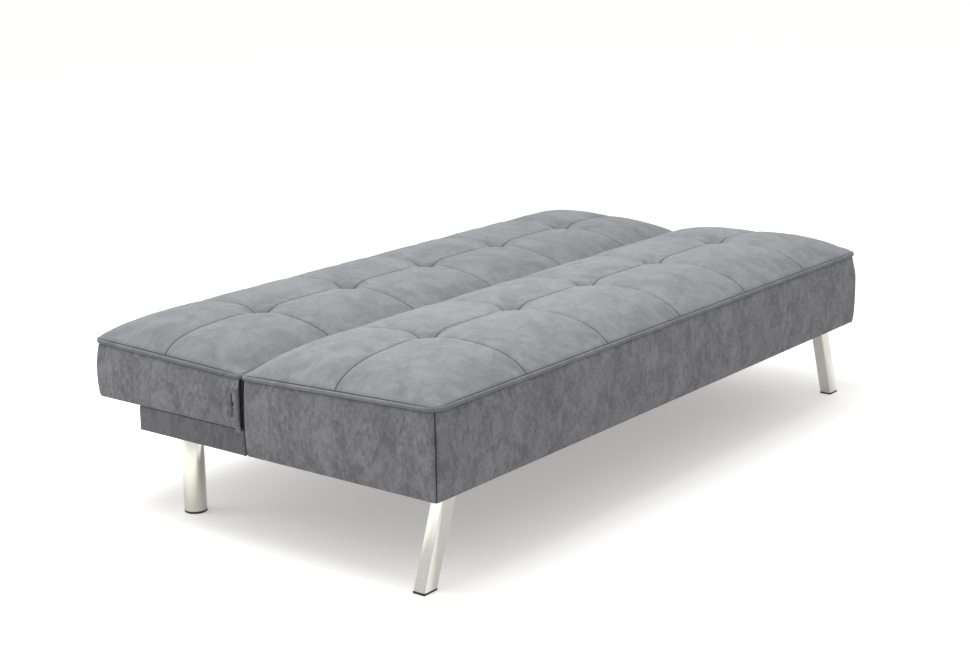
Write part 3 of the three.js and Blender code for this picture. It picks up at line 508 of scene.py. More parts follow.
def smooth_mesh(name, points, faces, turned=False, **attributes):
    """A mesh shaded smooth, with a point attribute for each named row of values."""
    mesh = bpy.data.meshes.new(name)
    mesh.from_pydata(points.tolist(), [], faces)
    if turned:
        mesh.flip_normals()
    for key, values in attributes.items():
        mesh.attributes.new(key, "FLOAT", "POINT").data.foreach_set("value", values.astype(np.float32))
    mesh.polygons.foreach_set("use_smooth", np.ones(len(mesh.polygons), bool))
    mesh.validate()
    mesh.update()
    return mesh


def build_cushion(name, cushion, s, swell, pocket, slit_y):
    """Returns the finished cushion's mesh: the quilted top, its welt and walls, and a hollow underside."""
    flat, grid, stitched, hollow = quilted_top(cushion, s, swell)
    top = grid.reshape(-1, 3)
    rim = Rim(cushion, s, flat, top)
    loops, seams = wall_loops(cushion, s, rim)
    below_welt = WELT_STEPS + 1
    cut_pocket(loops[below_welt:], rim, cushion.free_way, *pocket)
    if slit_y is not None:
        walls = slice(below_welt, below_welt + WALL_STEPS + 1)
        cut_slit(loops[walls], seams[walls], rim, slit_y)
    faces = grid_faces(*grid.shape[:2])
    above = rim.index
    for k in range(len(loops)):
        below = len(top) + k * rim.count + np.arange(rim.count)
        faces += np.stack([above, below, np.roll(below, -1), np.roll(above, -1)], 1).tolist()
        above = below
    faces.append(above[::-1].tolist())
    under = len(loops) * rim.count
    side_wall = np.zeros(len(top) + under)
    side_wall[len(top) + WELT_STEPS * rim.count:] = 1
    return smooth_mesh(
        name, np.vstack([top, *loops]), faces,
        seam_distance=np.concatenate([stitched.ravel(), *seams]),
        tuft_hollow=np.concatenate([hollow.ravel(), np.zeros(under)]), side_wall=side_wall,
    )


def add_piece(name, mesh, material, body):
    """Puts a finished velvet mesh into the scene, on the body that carries it."""
    piece = bpy.data.objects.new(name, mesh)
    bpy.context.scene.collection.objects.link(piece)
    piece.data.materials.append(material)
    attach(piece, body)
    return piece


def add_cushion(name, cushion, s, body, stood_for, pocket, slit_y=None, depth=1.0):
    swell = simulated_swell(cushion, s, name)
    mesh = build_cushion(name, cushion, s, swell, pocket, slit_y)
    piece = add_piece(name, mesh, velvet_material(name + "_velvet", cushion.y[0], depth), body)
    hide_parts(*stood_for)


SEAT_SEAMS = (0.382, 0.365)  # height of the seat's top seam at its front and at the crease
BACK_SEAMS = (0.365, 0.378)  # height of the backrest's at the crease and at its rear
SEAT_RISE, BACK_RISE = 62 * MM, 53 * MM  # how high a crown of full height stands above its seams
POCKET_X = (0.834, 0.856)  # where a hinge stands in each end of the crease
POCKET_TOP = 0.362
BACK_POCKET = 25 * MM
SLIT_Y = 24 * MM  # from the backrest's crease edge to the slit in its end


class SOFABED_OT_seat_cushion(bpy.types.Operator):
    """Sews the seat: six by two quilted panels over a foam block, with box walls down to the frame"""

    bl_idname = "sofabed.seat_cushion"
    bl_label = "Seat Cushion"

    def execute(self, context):
        s = context.scene.sofabed_cushion
        cushion = Cushion(
            s, "seat_cover", "seat_foam", seams=SEAT_SEAMS,
            shoulders=(Shoulder(3, 9, 59, 58), Shoulder(13, 8, 46, 46)),
            end_shoulder=Shoulder(8, 9, 53, 62), rise=SEAT_RISE, free_way=-1, free_corner=s.plan_corner,
        )
        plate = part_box("hinge_seat_plate_right")[0]
        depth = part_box("seat_cover")[1].y - plate.y + 3 * MM
        pocket = ((POCKET_X[0], plate.z), (POCKET_X[1], POCKET_TOP), depth)
        add_cushion("seat_cushion", cushion, s, "base", ("seat_cover", "seat_foam"), pocket)
        return {"FINISHED"}


class SOFABED_OT_back_cushion(bpy.types.Operator):
    """Sews the backrest: the same quilting on a thinner cushion"""

    bl_idname = "sofabed.back_cushion"
    bl_label = "Backrest Cushion"

    def execute(self, context):
        s = context.scene.sofabed_cushion
        cushion = Cushion(
            s, "back_cover", "back_foam", seams=BACK_SEAMS,
            shoulders=(Shoulder(8, 9, 44, 62), Shoulder(20, 6, 29, 70)),
            end_shoulder=Shoulder(8, 8, 45, 52), rise=BACK_RISE, free_way=1, free_corner=2 * s.tight_corner,
        )
        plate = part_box("hinge_back_plate_right")[0]
        pocket = ((POCKET_X[0], plate.z), (POCKET_X[1], POCKET_TOP), BACK_POCKET)
        # The backrest's velvet is a darker copy of the seat's: painted shade.
        add_cushion(
            "back_cushion", cushion, s, "backrest", ("back_cover", "back_foam"), pocket,
            slit_y=cushion.y[0] + SLIT_Y, depth=context.scene.sofabed_fabric.backrest_painted_shade,
        )
        return {"FINISHED"}


# ---------- modelling by hand ----------


def deselect_all():
    if bpy.context.mode != "OBJECT":
        bpy.ops.object.mode_set(mode="OBJECT")
    bpy.ops.object.select_all(action="DESELECT")


def pick(piece):
    """Makes one piece the active and only selected one."""
    deselect_all()
    bpy.context.view_layer.objects.active = piece
    piece.select_set(True)


def primitive(name, add, **places):
    """Adds a primitive on its own and names it."""
    deselect_all()
    add(**places)
    piece = bpy.context.active_object
    piece.name = name
    piece.data.name = name
    return piece


def edit(piece):
    """Opens edit mode on a piece."""
    pick(piece)
    bpy.ops.object.mode_set(mode="EDIT")


def choose(piece, kind, wanted):
    """Selects the faces, edges or verts for which wanted is true, and nothing else."""
    mesh = bmesh.from_edit_mesh(piece.data)
    mode = {"faces": "FACE", "edges": "EDGE", "verts": "VERT"}[kind]
    bpy.ops.mesh.select_mode(type=mode)
    bpy.ops.mesh.select_all(action="DESELECT")
    for part in getattr(mesh, kind):
        part.select_set(bool(wanted(part)))
    mesh.select_flush_mode()
    bmesh.update_edit_mesh(piece.data)


def settle(piece):
    """Leaves edit mode and puts the piece's place into its mesh."""
    pick(piece)
    bpy.ops.object.transform_apply(location=True, rotation=True, scale=True)


def ease_edges(piece, width, segments):
    """Bevels every sharp edge and shades the piece smooth."""
    modifier = piece.modifiers.new("Bevel", "BEVEL")
    modifier.width, modifier.segments, modifier.limit_method = width, segments, "ANGLE"
    pick(piece)
    bpy.ops.object.modifier_apply(modifier=modifier.name)
    smooth(piece)


def smooth(piece, angle=35):
    pick(piece)
    bpy.ops.object.shade_smooth_by_angle(angle=math.radians(angle))


def move_end(piece, way, inset, push):
    """Insets a piece's top face (way 1) or bottom face (-1) and moves what is left of it up."""
    edit(piece)
    choose(piece, "faces", lambda f: f.normal.z * way > 0.9)
    bpy.ops.mesh.inset(thickness=inset)
    bpy.ops.mesh.extrude_region_move(TRANSFORM_OT_translate={"value": (0, 0, push)})
    settle(piece)


def box_primitive(name, low, high):
    middle = [(a + b) / 2 for a, b in zip(low, high)]
    piece = primitive(name, bpy.ops.mesh.primitive_cube_add, size=1, location=middle)
    piece.scale = [b - a for a, b in zip(low, high)]
    settle(piece)
    return piece


def upright(edge):
    a, b = (v.co for v in edge.verts)
    return abs(a.z - b.z) > 0.9 * (a - b).length


def merged_copy(node, name):
    """A copy of a CAD node as one clean mesh, for finishing by hand."""
    source = frame["nodes"][node]
    piece = source.copy()
    piece.data = source.data.copy()
    piece.name = name
    piece.data.name = name
    piece.parent = None
    piece.matrix_world = Matrix.Identity(4)
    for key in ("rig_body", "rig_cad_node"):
        del piece[key]
    bpy.context.scene.collection.objects.link(piece)
    edit(piece)
    bpy.ops.mesh.select_all(action="SELECT")
    bpy.ops.mesh.remove_doubles(threshold=0.00002)
    bpy.ops.mesh.dissolve_limited(angle_limit=math.radians(1))
    bpy.ops.object.mode_set(mode="OBJECT")
    return piece


def finish_piece(piece, material, body, stood_for):
    piece.data.materials.clear()
    piece.data.materials.append(material)
    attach(piece, body)
    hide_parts(stood_for)


SLIT = (0.268, 0.336)  # heights of the slit beside a hinge flap
SLIT_DEPTH = 8.5 * MM
SLIT_REACH = 7 * MM
FLAP_SECTIONS = 72
FLAP_ROUND = 20  # points round one section
FLAP_WIDTH = 19 * MM
FLAP_TOP = 0.360
FLAP_DROP = 6 * MM  # how far a flap hangs below the backrest
FLAP_WALL = (0.254, 0.3584)  # foot and head of the filled wall behind a flap
FLAP_WALL_BULGE = 5.8 * MM


def slit_lens(z):
    """1 in the middle of the slit, 0 above and below it."""
    share = np.clip((z - SLIT[0]) / (SLIT[1] - SLIT[0]), 0, 1)
    return np.sin(np.pi * share) ** 0.8


def flap_mesh(name, way, wall_x, crease_y, low_z, high_z):
    """A folded hem of fabric down the edge of the backrest's end, gathered round a slit."""
    turn = np.linspace(0, 2 * np.pi, FLAP_ROUND, endpoint=False)
    points = []
    for z in np.linspace(low_z, high_z, FLAP_SECTIONS):
        share = (z - low_z) / (high_z - low_z)
        crumple = low_wave((z, 0.021, 0.4), (z, 0.0132, 2.6), (z, 0.047, 1.2))
        filled = np.clip((FLAP_WALL[1] - z) / (FLAP_WALL[1] - FLAP_WALL[0]), 0, 1)
        wall_out = FLAP_WALL_BULGE * (4 * filled * (1 - filled)) ** 0.55
        narrow = 1 - 0.24 * slit_lens(z) - 0.35 * (1 - min(1, share / 0.16)) ** 2
        wide = (FLAP_WIDTH * narrow + 1.1 * MM * crumple) / 2
        ends = min(1, 8 * share + 0.25, 6 * (1 - share) + 0.15)
        thick = (3.8 + 2.2 * slit_lens(z) + 1.1 * crumple) * MM * ends
        centre_y = crease_y + 0.6 * MM + wide + 1.6 * MM * (1 - share) * low_wave((z, 0.09, 2.0))
        centre_x = wall_x + way * (wall_out + 0.4 * MM + 0.7 * MM * crumple)
        ridge = 1 + 0.22 * np.cos(3 * turn + 9 * share)
        y = centre_y + wide * np.cos(turn)
        x = centre_x + way * thick * np.sin(turn) * np.where(np.sin(turn) > 0, ridge, 0.9)
        points.append(np.column_stack([x, y, np.full(FLAP_ROUND, z)]))
    faces = []
    for a in range(0, (FLAP_SECTIONS - 1) * FLAP_ROUND, FLAP_ROUND):
        for j in range(FLAP_ROUND):
            n, b = (j + 1) % FLAP_ROUND, a + FLAP_ROUND
            faces.append((a + j, a + n, b + n, b + j))
    total = FLAP_SECTIONS * FLAP_ROUND
    faces.append(range(FLAP_ROUND - 1, -1, -1))
    faces.append(range(total - FLAP_ROUND, total))
    # The flap's two long edges, where they meet the wall, are darkened through the seam mask: painted
    # shade.
    wall_contact_shade = np.tile(1 * MM + 10 * MM * np.abs(np.sin(turn)), FLAP_SECTIONS)
    return smooth_mesh(
        name, np.vstack(points), [tuple(face) for face in faces], turned=way > 0,
        seam_distance=wall_contact_shade, side_wall=np.ones(total),
    )


class SOFABED_OT_hinge_flaps(bpy.types.Operator):
    """Folds the fabric hem that covers the hinge at each end of the backrest"""

    bl_idname = "sofabed.hinge_flaps"
    bl_label = "Hinge Flaps"

    def execute(self, context):
        low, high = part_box("back_cover")
        wall_x = high.x - context.scene.sofabed_cushion.side_bulge
        material = velvet_material("hinge_flap_velvet")
        for side, way in SIDES.items():
            name = f"hinge_flap_{side}"
            mesh = flap_mesh(name, way, way * wall_x, low.y, low.z - FLAP_DROP, FLAP_TOP)
            add_piece(name, mesh, material, "backrest")
        return {"FINISHED"}


BASE_LIP = 24 * MM  # fabric turned in under the base
BASE_CORNER, BASE_FOLD = 5 * MM, 1.6 * MM  # radius of the upright corners and of the folded edges


class SOFABED_OT_base_upholstery(bpy.types.Operator):
    """Stretches flat fabric over the low base that the backrest lies on"""

    bl_idname = "sofabed.base_upholstery"
    bl_label = "Base Upholstery"

    def execute(self, context):
        low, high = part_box("base_cover")
        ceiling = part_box("base_top_panel")[1].z + 0.3 * MM
        piece = box_primitive("base_upholstery", low, high)
        edit(piece)
        choose(piece, "edges", upright)
        bpy.ops.mesh.bevel(offset=BASE_CORNER, segments=5, affect="EDGES")
        move_end(piece, -1, BASE_LIP, ceiling - low.z)

        def on_outline(vert):
            ends = (vert.co.x - low.x, vert.co.x - high.x, vert.co.y - low.y, vert.co.y - high.y)
            return min(abs(end) for end in ends) < BASE_CORNER + 0.5 * MM

        edit(piece)
        choose(
            piece, "edges",
            lambda e: not upright(e) and len(e.link_faces) == 2 and e.calc_face_angle(0) > 1.2
            and all(on_outline(vert) for vert in e.verts),
        )
        bpy.ops.mesh.bevel(offset=BASE_FOLD, segments=3, affect="EDGES")
        settle(piece)
        piece.data.polygons.foreach_set("use_smooth", np.zeros(len(piece.data.polygons), bool))
        smooth(piece)
        material = shared_material("base_velvet", base_fabric_material)
        finish_piece(piece, material, "base", "base_cover")
        return {"FINISHED"}


CAP_EDGE = 0.9 * MM  # radius on the foot caps' edges


def finish_cap(cap, side, end):
    """Eases a foot cap and gives it its black plastic."""
    ease_edges(cap, CAP_EDGE, 3)
    plastic = shared_material("black_foot_plastic", plastic_material)
    finish_piece(cap, plastic, "base", f"{end}_foot_cap_{side}")


class SOFABED_OT_front_legs(bpy.types.Operator):
    """Rounds the long edges of the leaning square legs and eases their caps"""

    bl_idname = "sofabed.front_legs"
    bl_label = "Front Legs"

    def execute(self, context):
        s = context.scene.sofabed_metal
        steel = shared_material("satin_steel_legs", satin_steel_material)
        for side in SIDES:
            piece = merged_copy(f"front_leg_{side}", f"square_leg_{side}")
            faces = [corner.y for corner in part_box(f"front_foot_cap_{side}")]
            edit(piece)
            choose(
                piece, "edges",
                lambda e: e.calc_length() > 0.1
                and min(abs(v.co.y - face) for face in faces for v in e.verts) < 0.6 * MM,
            )
            bpy.ops.mesh.bevel(offset=s.leg_edge, segments=5, affect="EDGES")
            settle(piece)
            smooth(piece)
            finish_piece(piece, steel, "base", f"front_leg_{side}")
            finish_cap(merged_copy(f"front_foot_cap_{side}", f"square_foot_cap_{side}"), side, "front")
        return {"FINISHED"}


class SOFABED_OT_rear_legs(bpy.types.Operator):
    """Turns the round tube legs under the rear base, with their foot caps"""

    bl_idname = "sofabed.rear_legs"
    bl_label = "Rear Legs"

    def execute(self, context):
        s = context.scene.sofabed_metal
        steel = shared_material("polished_steel_legs", polished_steel_material)
        for side in SIDES:
            low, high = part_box(f"rear_leg_{side}")
            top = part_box(f"rear_leg_plate_{side}")[0].z - 0.3 * MM
            cap_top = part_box(f"rear_foot_cap_{side}")[1].z
            radius = (high.y - low.y) / 2
            centre = Vector(((low.x + high.x) / 2, (low.y + high.y) / 2, 0))
            piece = primitive(
                f"round_leg_{side}", bpy.ops.mesh.primitive_cylinder_add, vertices=96, radius=radius,
                depth=top - low.z, location=centre + Vector((0, 0, (top + low.z) / 2)),
            )
            move_end(piece, -1, s.rear_leg_wall, cap_top - low.z + 6 * MM)
            ease_edges(piece, 0.5 * MM, 2)
            finish_piece(piece, steel, "base", f"rear_leg_{side}")
            cap = primitive(
                f"round_foot_cap_{side}", bpy.ops.mesh.primitive_cylinder_add, vertices=72, radius=radius,
                depth=s.foot_pad, location=centre + Vector((0, 0, s.foot_pad / 2)),
            )
            move_end(cap, 1, s.rear_leg_wall + 0.4 * MM, cap_top - s.foot_pad)
            finish_cap(cap, side, "rear")
        return {"FINISHED"}


# ---------- finishes ----------

NEAR_BLACK = (0.008, 0.008, 0.010)  # what thread lines and the painted shade of grooves, tufts and deep folds darken to


def feed(tree, socket, value):
    """Links an input to an output socket, or gives it a plain value."""
    if isinstance(value, bpy.types.NodeSocket):
        tree.links.new(value, socket)
    elif socket.type == "RGBA":
        socket.default_value = (*value, 1)
    else:
        socket.default_value = value


def put(tree, kind, inputs=None, **properties):
    """Adds a node, sets its properties, and feeds its inputs, which are named or numbered."""
    node = tree.nodes.new("ShaderNode" + kind)
    for key, value in properties.items():
        setattr(node, key, value)
    for key, value in (inputs or {}).items():
        feed(tree, node.inputs[key], value)
    return node


def arithmetic(tree, operation, first, second, clamp=False):
    return put(tree, "Math", {0: first, 1: second}, operation=operation, use_clamp=clamp).outputs[0]


def remap(tree, value, low, high, start=0.0, stop=1.0, curve="LINEAR"):
    """Maps a value that goes from start to stop onto low to high."""
    ends = {"From Min": start, "From Max": stop, "To Min": low, "To Max": high}
    return put(tree, "MapRange", {"Value": value, **ends}, interpolation_type=curve).outputs["Result"]


def blend(tree, mask, low, high):
    """Mixes two values by a mask."""
    return put(tree, "Mix", {0: mask, 2: low, 3: high}, data_type="FLOAT").outputs[0]


def two_tone(tree, mask, low, high):
    """Mixes two colours by a mask."""
    return put(tree, "Mix", {0: mask, 6: low, 7: high}, data_type="RGBA").outputs[2]


def darkened(tree, tone, mask, share):
    """Takes a share of a colour away where a mask is 1."""
    return two_tone(tree, arithmetic(tree, "MULTIPLY", mask, share, clamp=True), tone, NEAR_BLACK)


def noise(tree, vector, output="Fac", **inputs):
    return put(tree, "TexNoise", {"Vector": vector, **inputs}).outputs[output]


def warped(tree, vector, scale, reach):
    """A vector pushed about by soft noise, so that a pattern on it bends."""
    push = noise(tree, vector, "Color", Scale=scale, Detail=2.0)
    terms = {0: push, 1: (reach, reach, reach), 2: vector}
    return put(tree, "VectorMath", terms, operation="MULTIPLY_ADD").outputs["Vector"]


def mapped(tree, vector, **inputs):
    """A vector moved or stretched, to place or draw out a pattern."""
    return put(tree, "Mapping", {"Vector": vector, **inputs}).outputs["Vector"]


def object_place(tree):
    return put(tree, "TexCoord").outputs["Object"]


def brushed_nap(tree, take):
    """Brushed velvet: soft marbled patches, fine fibre flecks, and a height for both."""
    patch = noise(
        tree, warped(tree, take["Vector"], 9.0, 0.05), Scale=take["Patch Scale"], Detail=6.0,
        Roughness=0.62, Distortion=0.9,
    )
    finer = arithmetic(tree, "MULTIPLY", take["Patch Scale"], 3.1)
    cloud = noise(tree, take["Vector"], Scale=finer, Detail=5.0, Roughness=0.7, Distortion=1.4)
    fibre = noise(tree, take["Vector"], Scale=take["Fibre Scale"], Detail=4.0, Roughness=0.7)
    marbled = blend(tree, take["Cloud Share"], patch, cloud)
    spread = remap(tree, marbled, 0.0, 1.0, 0.36, 0.64, curve="SMOOTHSTEP")
    fleck = remap(tree, fibre, 0.0, 1.0, 0.3, 0.7)
    height = arithmetic(tree, "ADD", arithmetic(tree, "MULTIPLY", fleck, 0.35), spread)
    return blend(tree, take["Fibre Share"], spread, fleck), height


def sewn_line(tree, take):
    """A sewn line: painted dark along the thread's groove as shade, painted shade in the pull beside it,
    puckered along its length.
    """
    start = arithmetic(tree, "MULTIPLY", take["Line Width"], 0.45)
    stop = arithmetic(tree, "MULTIPLY", take["Line Width"], 1.5)
    line = remap(tree, take["Distance"], 1.0, 0.0, start, stop, curve="SMOOTHSTEP")
    shade = remap(tree, take["Distance"], 1.0, 0.0, 0.0, 0.008, curve="SMOOTHSTEP")
    reach = remap(tree, take["Distance"], 1.0, 0.0, 0.0, 0.016, curve="SMOOTHSTEP")
    gather = noise(tree, take["Vector"], Scale=70.0, Detail=1.0)
    return line, shade, arithmetic(tree, "MULTIPLY", gather, reach)


def drawn_metal(tree, take):
    """Fine scratches drawn out along Z, and soft smudges."""
    along = mapped(tree, take["Vector"], Scale=(1.0, 1.0, 0.012))
    scratch = noise(tree, along, Scale=take["Scale"], Detail=3.0, Roughness=0.6)
    return scratch, noise(tree, take["Vector"], Scale=18.0, Detail=4.0)


def sawn_grain(tree, take):
    """Sawn softwood: rings round the board's length, and long pores."""
    rings = {"Vector": warped(tree, take["Vector"], 3.0, 0.06), "Scale": take["Ring Scale"]}
    ring = put(
        tree, "TexWave", {**rings, "Distortion": 2.2, "Detail": 2.0}, wave_type="RINGS", rings_direction="X"
    )
    thin = mapped(tree, take["Vector"], Scale=(0.05, 1.0, 1.0))
    return ring.outputs["Fac"], noise(tree, thin, Scale=700.0, Detail=2.0)


def plain_weave(tree, take):
    """A plain weave: warp and weft threads crossing."""
    threads = {"Vector": take["Vector"], "Scale": take["Thread Scale"], "Distortion": 0.6, "Detail": 1.0}
    warp, weft = (put(tree, "TexWave", threads, bands_direction=way).outputs["Fac"] for way in ("X", "Y"))
    fleck = noise(tree, take["Vector"], Scale=160.0, Detail=3.0)
    return arithmetic(tree, "MULTIPLY", warp, weft), fleck


# Each group's maker, its inputs besides Vector with their defaults, and its outputs.
GROUPS = {
    "Brushed Nap": (
        brushed_nap, {"Patch Scale": 22.0, "Fibre Scale": 420.0, "Fibre Share": 0.3, "Cloud Share": 0.4},
        ("Mask", "Height"),
    ),
    "Sewn Line": (sewn_line, {"Distance": 0.02, "Line Width": 0.0011}, ("Line", "Shade", "Pucker")),
    "Drawn Metal": (drawn_metal, {"Scale": 900.0}, ("Mask", "Smudge")),
    "Sawn Grain": (sawn_grain, {"Ring Scale": 26.0}, ("Ring", "Pore")),
    "Plain Weave": (plain_weave, {"Thread Scale": 260.0}, ("Height", "Fleck")),
}


def build_group(name):
    """Builds one shader node group with its named sockets."""
    fill, numbers, outputs = GROUPS[name]
    tree = bpy.data.node_groups.new(name, "ShaderNodeTree")
    tree.interface.new_socket(name="Vector", in_out="INPUT", socket_type="NodeSocketVector")
    for socket, default in numbers.items():
        made = tree.interface.new_socket(name=socket, in_out="INPUT", socket_type="NodeSocketFloat")
        made.default_value = default
    for socket in outputs:
        tree.interface.new_socket(name=socket, in_out="OUTPUT", socket_type="NodeSocketFloat")
    inside, out = tree.nodes.new("NodeGroupInput"), tree.nodes.new("NodeGroupOutput")
    for socket, value in zip(outputs, fill(tree, inside.outputs)):
        feed(tree, out.inputs[socket], value)
    return tree


def place_group(tree, name, vector, **values):
    """Places a node group, built on its first use, and returns its outputs."""
    group = bpy.data.node_groups.get(name) or build_group(name)
    inputs = {socket.replace("_", " "): value for socket, value in values.items()}
    return put(tree, "Group", {"Vector": vector, **inputs}, node_tree=group).outputs


def new_material(name, constants):
    """A material with one Principled shader, its plain values on its own sockets."""
    material = bpy.data.materials.new(name)
    material.use_nodes = True
    shader = material.node_tree.nodes["Principled BSDF"]
    for socket, value in constants.items():
        feed(material.node_tree, shader.inputs[socket], value)
    return material, material.node_tree, shader


def shared_material(name, make):
    """A material that several pieces wear, made the first time it is asked for."""
    return bpy.data.materials.get(name) or make(name)


def dress(tree, shader, tone, height, depth, distance, roughness=None):
    """Feeds a shader its colour, its bumps and, where it varies, its roughness."""
    feed(tree, shader.inputs["Base Color"], tone)
    if roughness is not None:
        feed(tree, shader.inputs["Roughness"], roughness)
    bump = put(tree, "Bump", {"Strength": depth, "Distance": distance, "Height": height})
    feed(tree, shader.inputs["Normal"], bump.outputs["Normal"])


def velvet_material(name, panel_origin=0.0, depth=1.0):
    """Brushed grey velvet with its sewn lines and painted shade in its hollows, creases and slit; side
    walls show the nap drawn down in streaks.
    """
    fabric = bpy.context.scene.sofabed_fabric
    material, tree, shader = new_material(name, {
        "Sheen Weight": fabric.sheen, "Sheen Roughness": 0.45, "Sheen Tint": (0.86, 0.88, 0.95),
        "Specular IOR Level": 0.25,
    })
    place = object_place(tree)
    flat = mapped(tree, place, Location=(0, -panel_origin, 0))
    drawn = mapped(tree, place, Location=(0.37, -panel_origin, 0), Scale=(1.1, 1.1, 0.66))
    top = place_group(
        tree, "Brushed Nap", flat, Patch_Scale=12.0, Fibre_Scale=300.0, Fibre_Share=0.22, Cloud_Share=0.42
    )
    side = place_group(
        tree, "Brushed Nap", drawn, Patch_Scale=22.0, Fibre_Scale=190.0, Fibre_Share=0.34, Cloud_Share=0.52
    )
    wall, seam, tuft = (
        put(tree, "Attribute", attribute_name=key).outputs["Fac"]
        for key in ("side_wall", "seam_distance", "tuft_hollow")
    )
    sewn = place_group(tree, "Sewn Line", flat, Distance=seam, Line_Width=0.0013)
    # The top's tones are scaled by depth; the backrest's darker copy is painted shade.
    top_tones = [[depth * part for part in tone] for tone in (fabric.velvet_dark, fabric.velvet_light)]
    top_tone = two_tone(tree, top["Mask"], *top_tones)
    wall_tone = two_tone(tree, side["Mask"], fabric.wall_dark, fabric.wall_light)
    tone = two_tone(tree, wall, top_tone, wall_tone)
    # Painted shade: up to 30% in the tufts' hollows and 10% beside each seam; the line mask paints the
    # stitched grooves, the slit, the flap's edges, the foot of the welt and the crease's walls near the
    # ends nearly black.
    for mask, share in ((tuft, 0.3), (sewn["Shade"], 0.1), (sewn["Line"], 0.88)):
        tone = darkened(tree, tone, mask, share)
    rough = remap(tree, blend(tree, wall, top["Mask"], side["Mask"]), 0.9, 0.7)
    pulled = arithmetic(tree, "MULTIPLY", sewn["Pucker"], 2.2)
    height = arithmetic(tree, "ADD", pulled, blend(tree, wall, top["Height"], side["Height"]))
    dress(tree, shader, tone, height, 0.35, 0.0009, rough)
    return material


def base_fabric_material(name):
    fabric = bpy.context.scene.sofabed_fabric
    material, tree, shader = new_material(name, {
        "Roughness": 0.85, "Sheen Weight": fabric.sheen, "Sheen Roughness": 0.5, "Specular IOR Level": 0.25,
    })
    drawn = mapped(tree, object_place(tree), Scale=(1.2, 1.2, 0.5))
    nap = place_group(tree, "Brushed Nap", drawn, Patch_Scale=36.0, Fibre_Scale=330.0, Fibre_Share=0.3)
    tone = two_tone(tree, nap["Mask"], fabric.base_dark, fabric.base_light)
    dress(tree, shader, tone, nap["Height"], 0.3, 0.0008)
    return material


def leg_steel_material(name, tint, scale, mask, tones, roughness, depth, distance):
    """Drawn steel, whose tone and gloss follow the group's scratches or its smudges."""
    material, tree, shader = new_material(name, {"Metallic": 1.0})
    drawn = place_group(tree, "Drawn Metal", object_place(tree), Scale=scale)
    low, high = ([min(1, share * part) for part in tint] for share in tones)
    tone = two_tone(tree, drawn[mask], low, high)
    dress(tree, shader, tone, drawn["Mask"], depth, distance, remap(tree, drawn[mask], *roughness))
    return material


def satin_steel_material(name):
    tint = bpy.context.scene.sofabed_metal.satin
    return leg_steel_material(name, tint, 1100.0, "Mask", (0.86, 1.08), (0.36, 0.48), 0.12, 0.0003)


def polished_steel_material(name):
    tint = bpy.context.scene.sofabed_metal.polished
    return leg_steel_material(name, tint, 700.0, "Smudge", (0.9, 1.0), (0.10, 0.20), 0.05, 0.0002)


def speckled_material(name, texture, output, scale, low, high, roughness, depth, distance):
    """An even grain of specks or cells in two tones, with the same bumps."""
    material, tree, shader = new_material(name, {"Roughness": roughness})
    grain = put(tree, texture, {"Vector": object_place(tree), "Scale": scale}).outputs[output]
    dress(tree, shader, two_tone(tree, grain, low, high), grain, depth, distance)
    return material


def plastic_material(name):
    return speckled_material(
        name, "TexNoise", "Fac", 900.0, (0.014, 0.014, 0.016), (0.03, 0.03, 0.032), 0.5, 0.2, 0.0002
    )


def board_material(name):
    return speckled_material(
        name, "TexVoronoi", "Distance", 160.0, (0.36, 0.23, 0.115), (0.56, 0.40, 0.23), 0.8, 0.3, 0.0005
    )


def foam_material(name):
    return speckled_material(
        name, "TexVoronoi", "Distance", 520.0, (0.62, 0.53, 0.33), (0.80, 0.72, 0.50), 0.95, 0.4, 0.0005
    )


def timber_material(name):
    material, tree, shader = new_material(name, {"Roughness": 0.72})
    grain = place_group(tree, "Sawn Grain", object_place(tree), Ring_Scale=24.0)
    tone = two_tone(tree, grain["Ring"], (0.44, 0.26, 0.115), (0.66, 0.45, 0.235))
    dress(tree, shader, darkened(tree, tone, grain["Pore"], 0.25), grain["Ring"], 0.25, 0.0006)
    return material


def cloth_material(name, low, high, threads):
    material, tree, shader = new_material(name, {"Roughness": 0.9, "Sheen Weight": 0.15})
    weave = place_group(tree, "Plain Weave", object_place(tree), Thread_Scale=threads)
    tone = darkened(tree, two_tone(tree, weave["Fleck"], low, high), weave["Height"], 0.3)
    dress(tree, shader, tone, weave["Height"], 0.5, 0.0006)
    return material


def steel_material(name, low, high, roughness):
    """Plated or oiled steel: a faint spangle under soft wear."""
    material, tree, shader = new_material(name, {"Metallic": 1.0})
    place = object_place(tree)
    spangle = put(tree, "TexVoronoi", {"Vector": place, "Scale": 130.0}).outputs["Distance"]
    wear = noise(tree, place, Scale=45.0, Detail=5.0)
    tone = two_tone(tree, arithmetic(tree, "MULTIPLY", spangle, wear), low, high)
    dress(tree, shader, tone, wear, 0.1, 0.0003, remap(tree, wear, roughness - 0.08, roughness + 0.12))
    return material


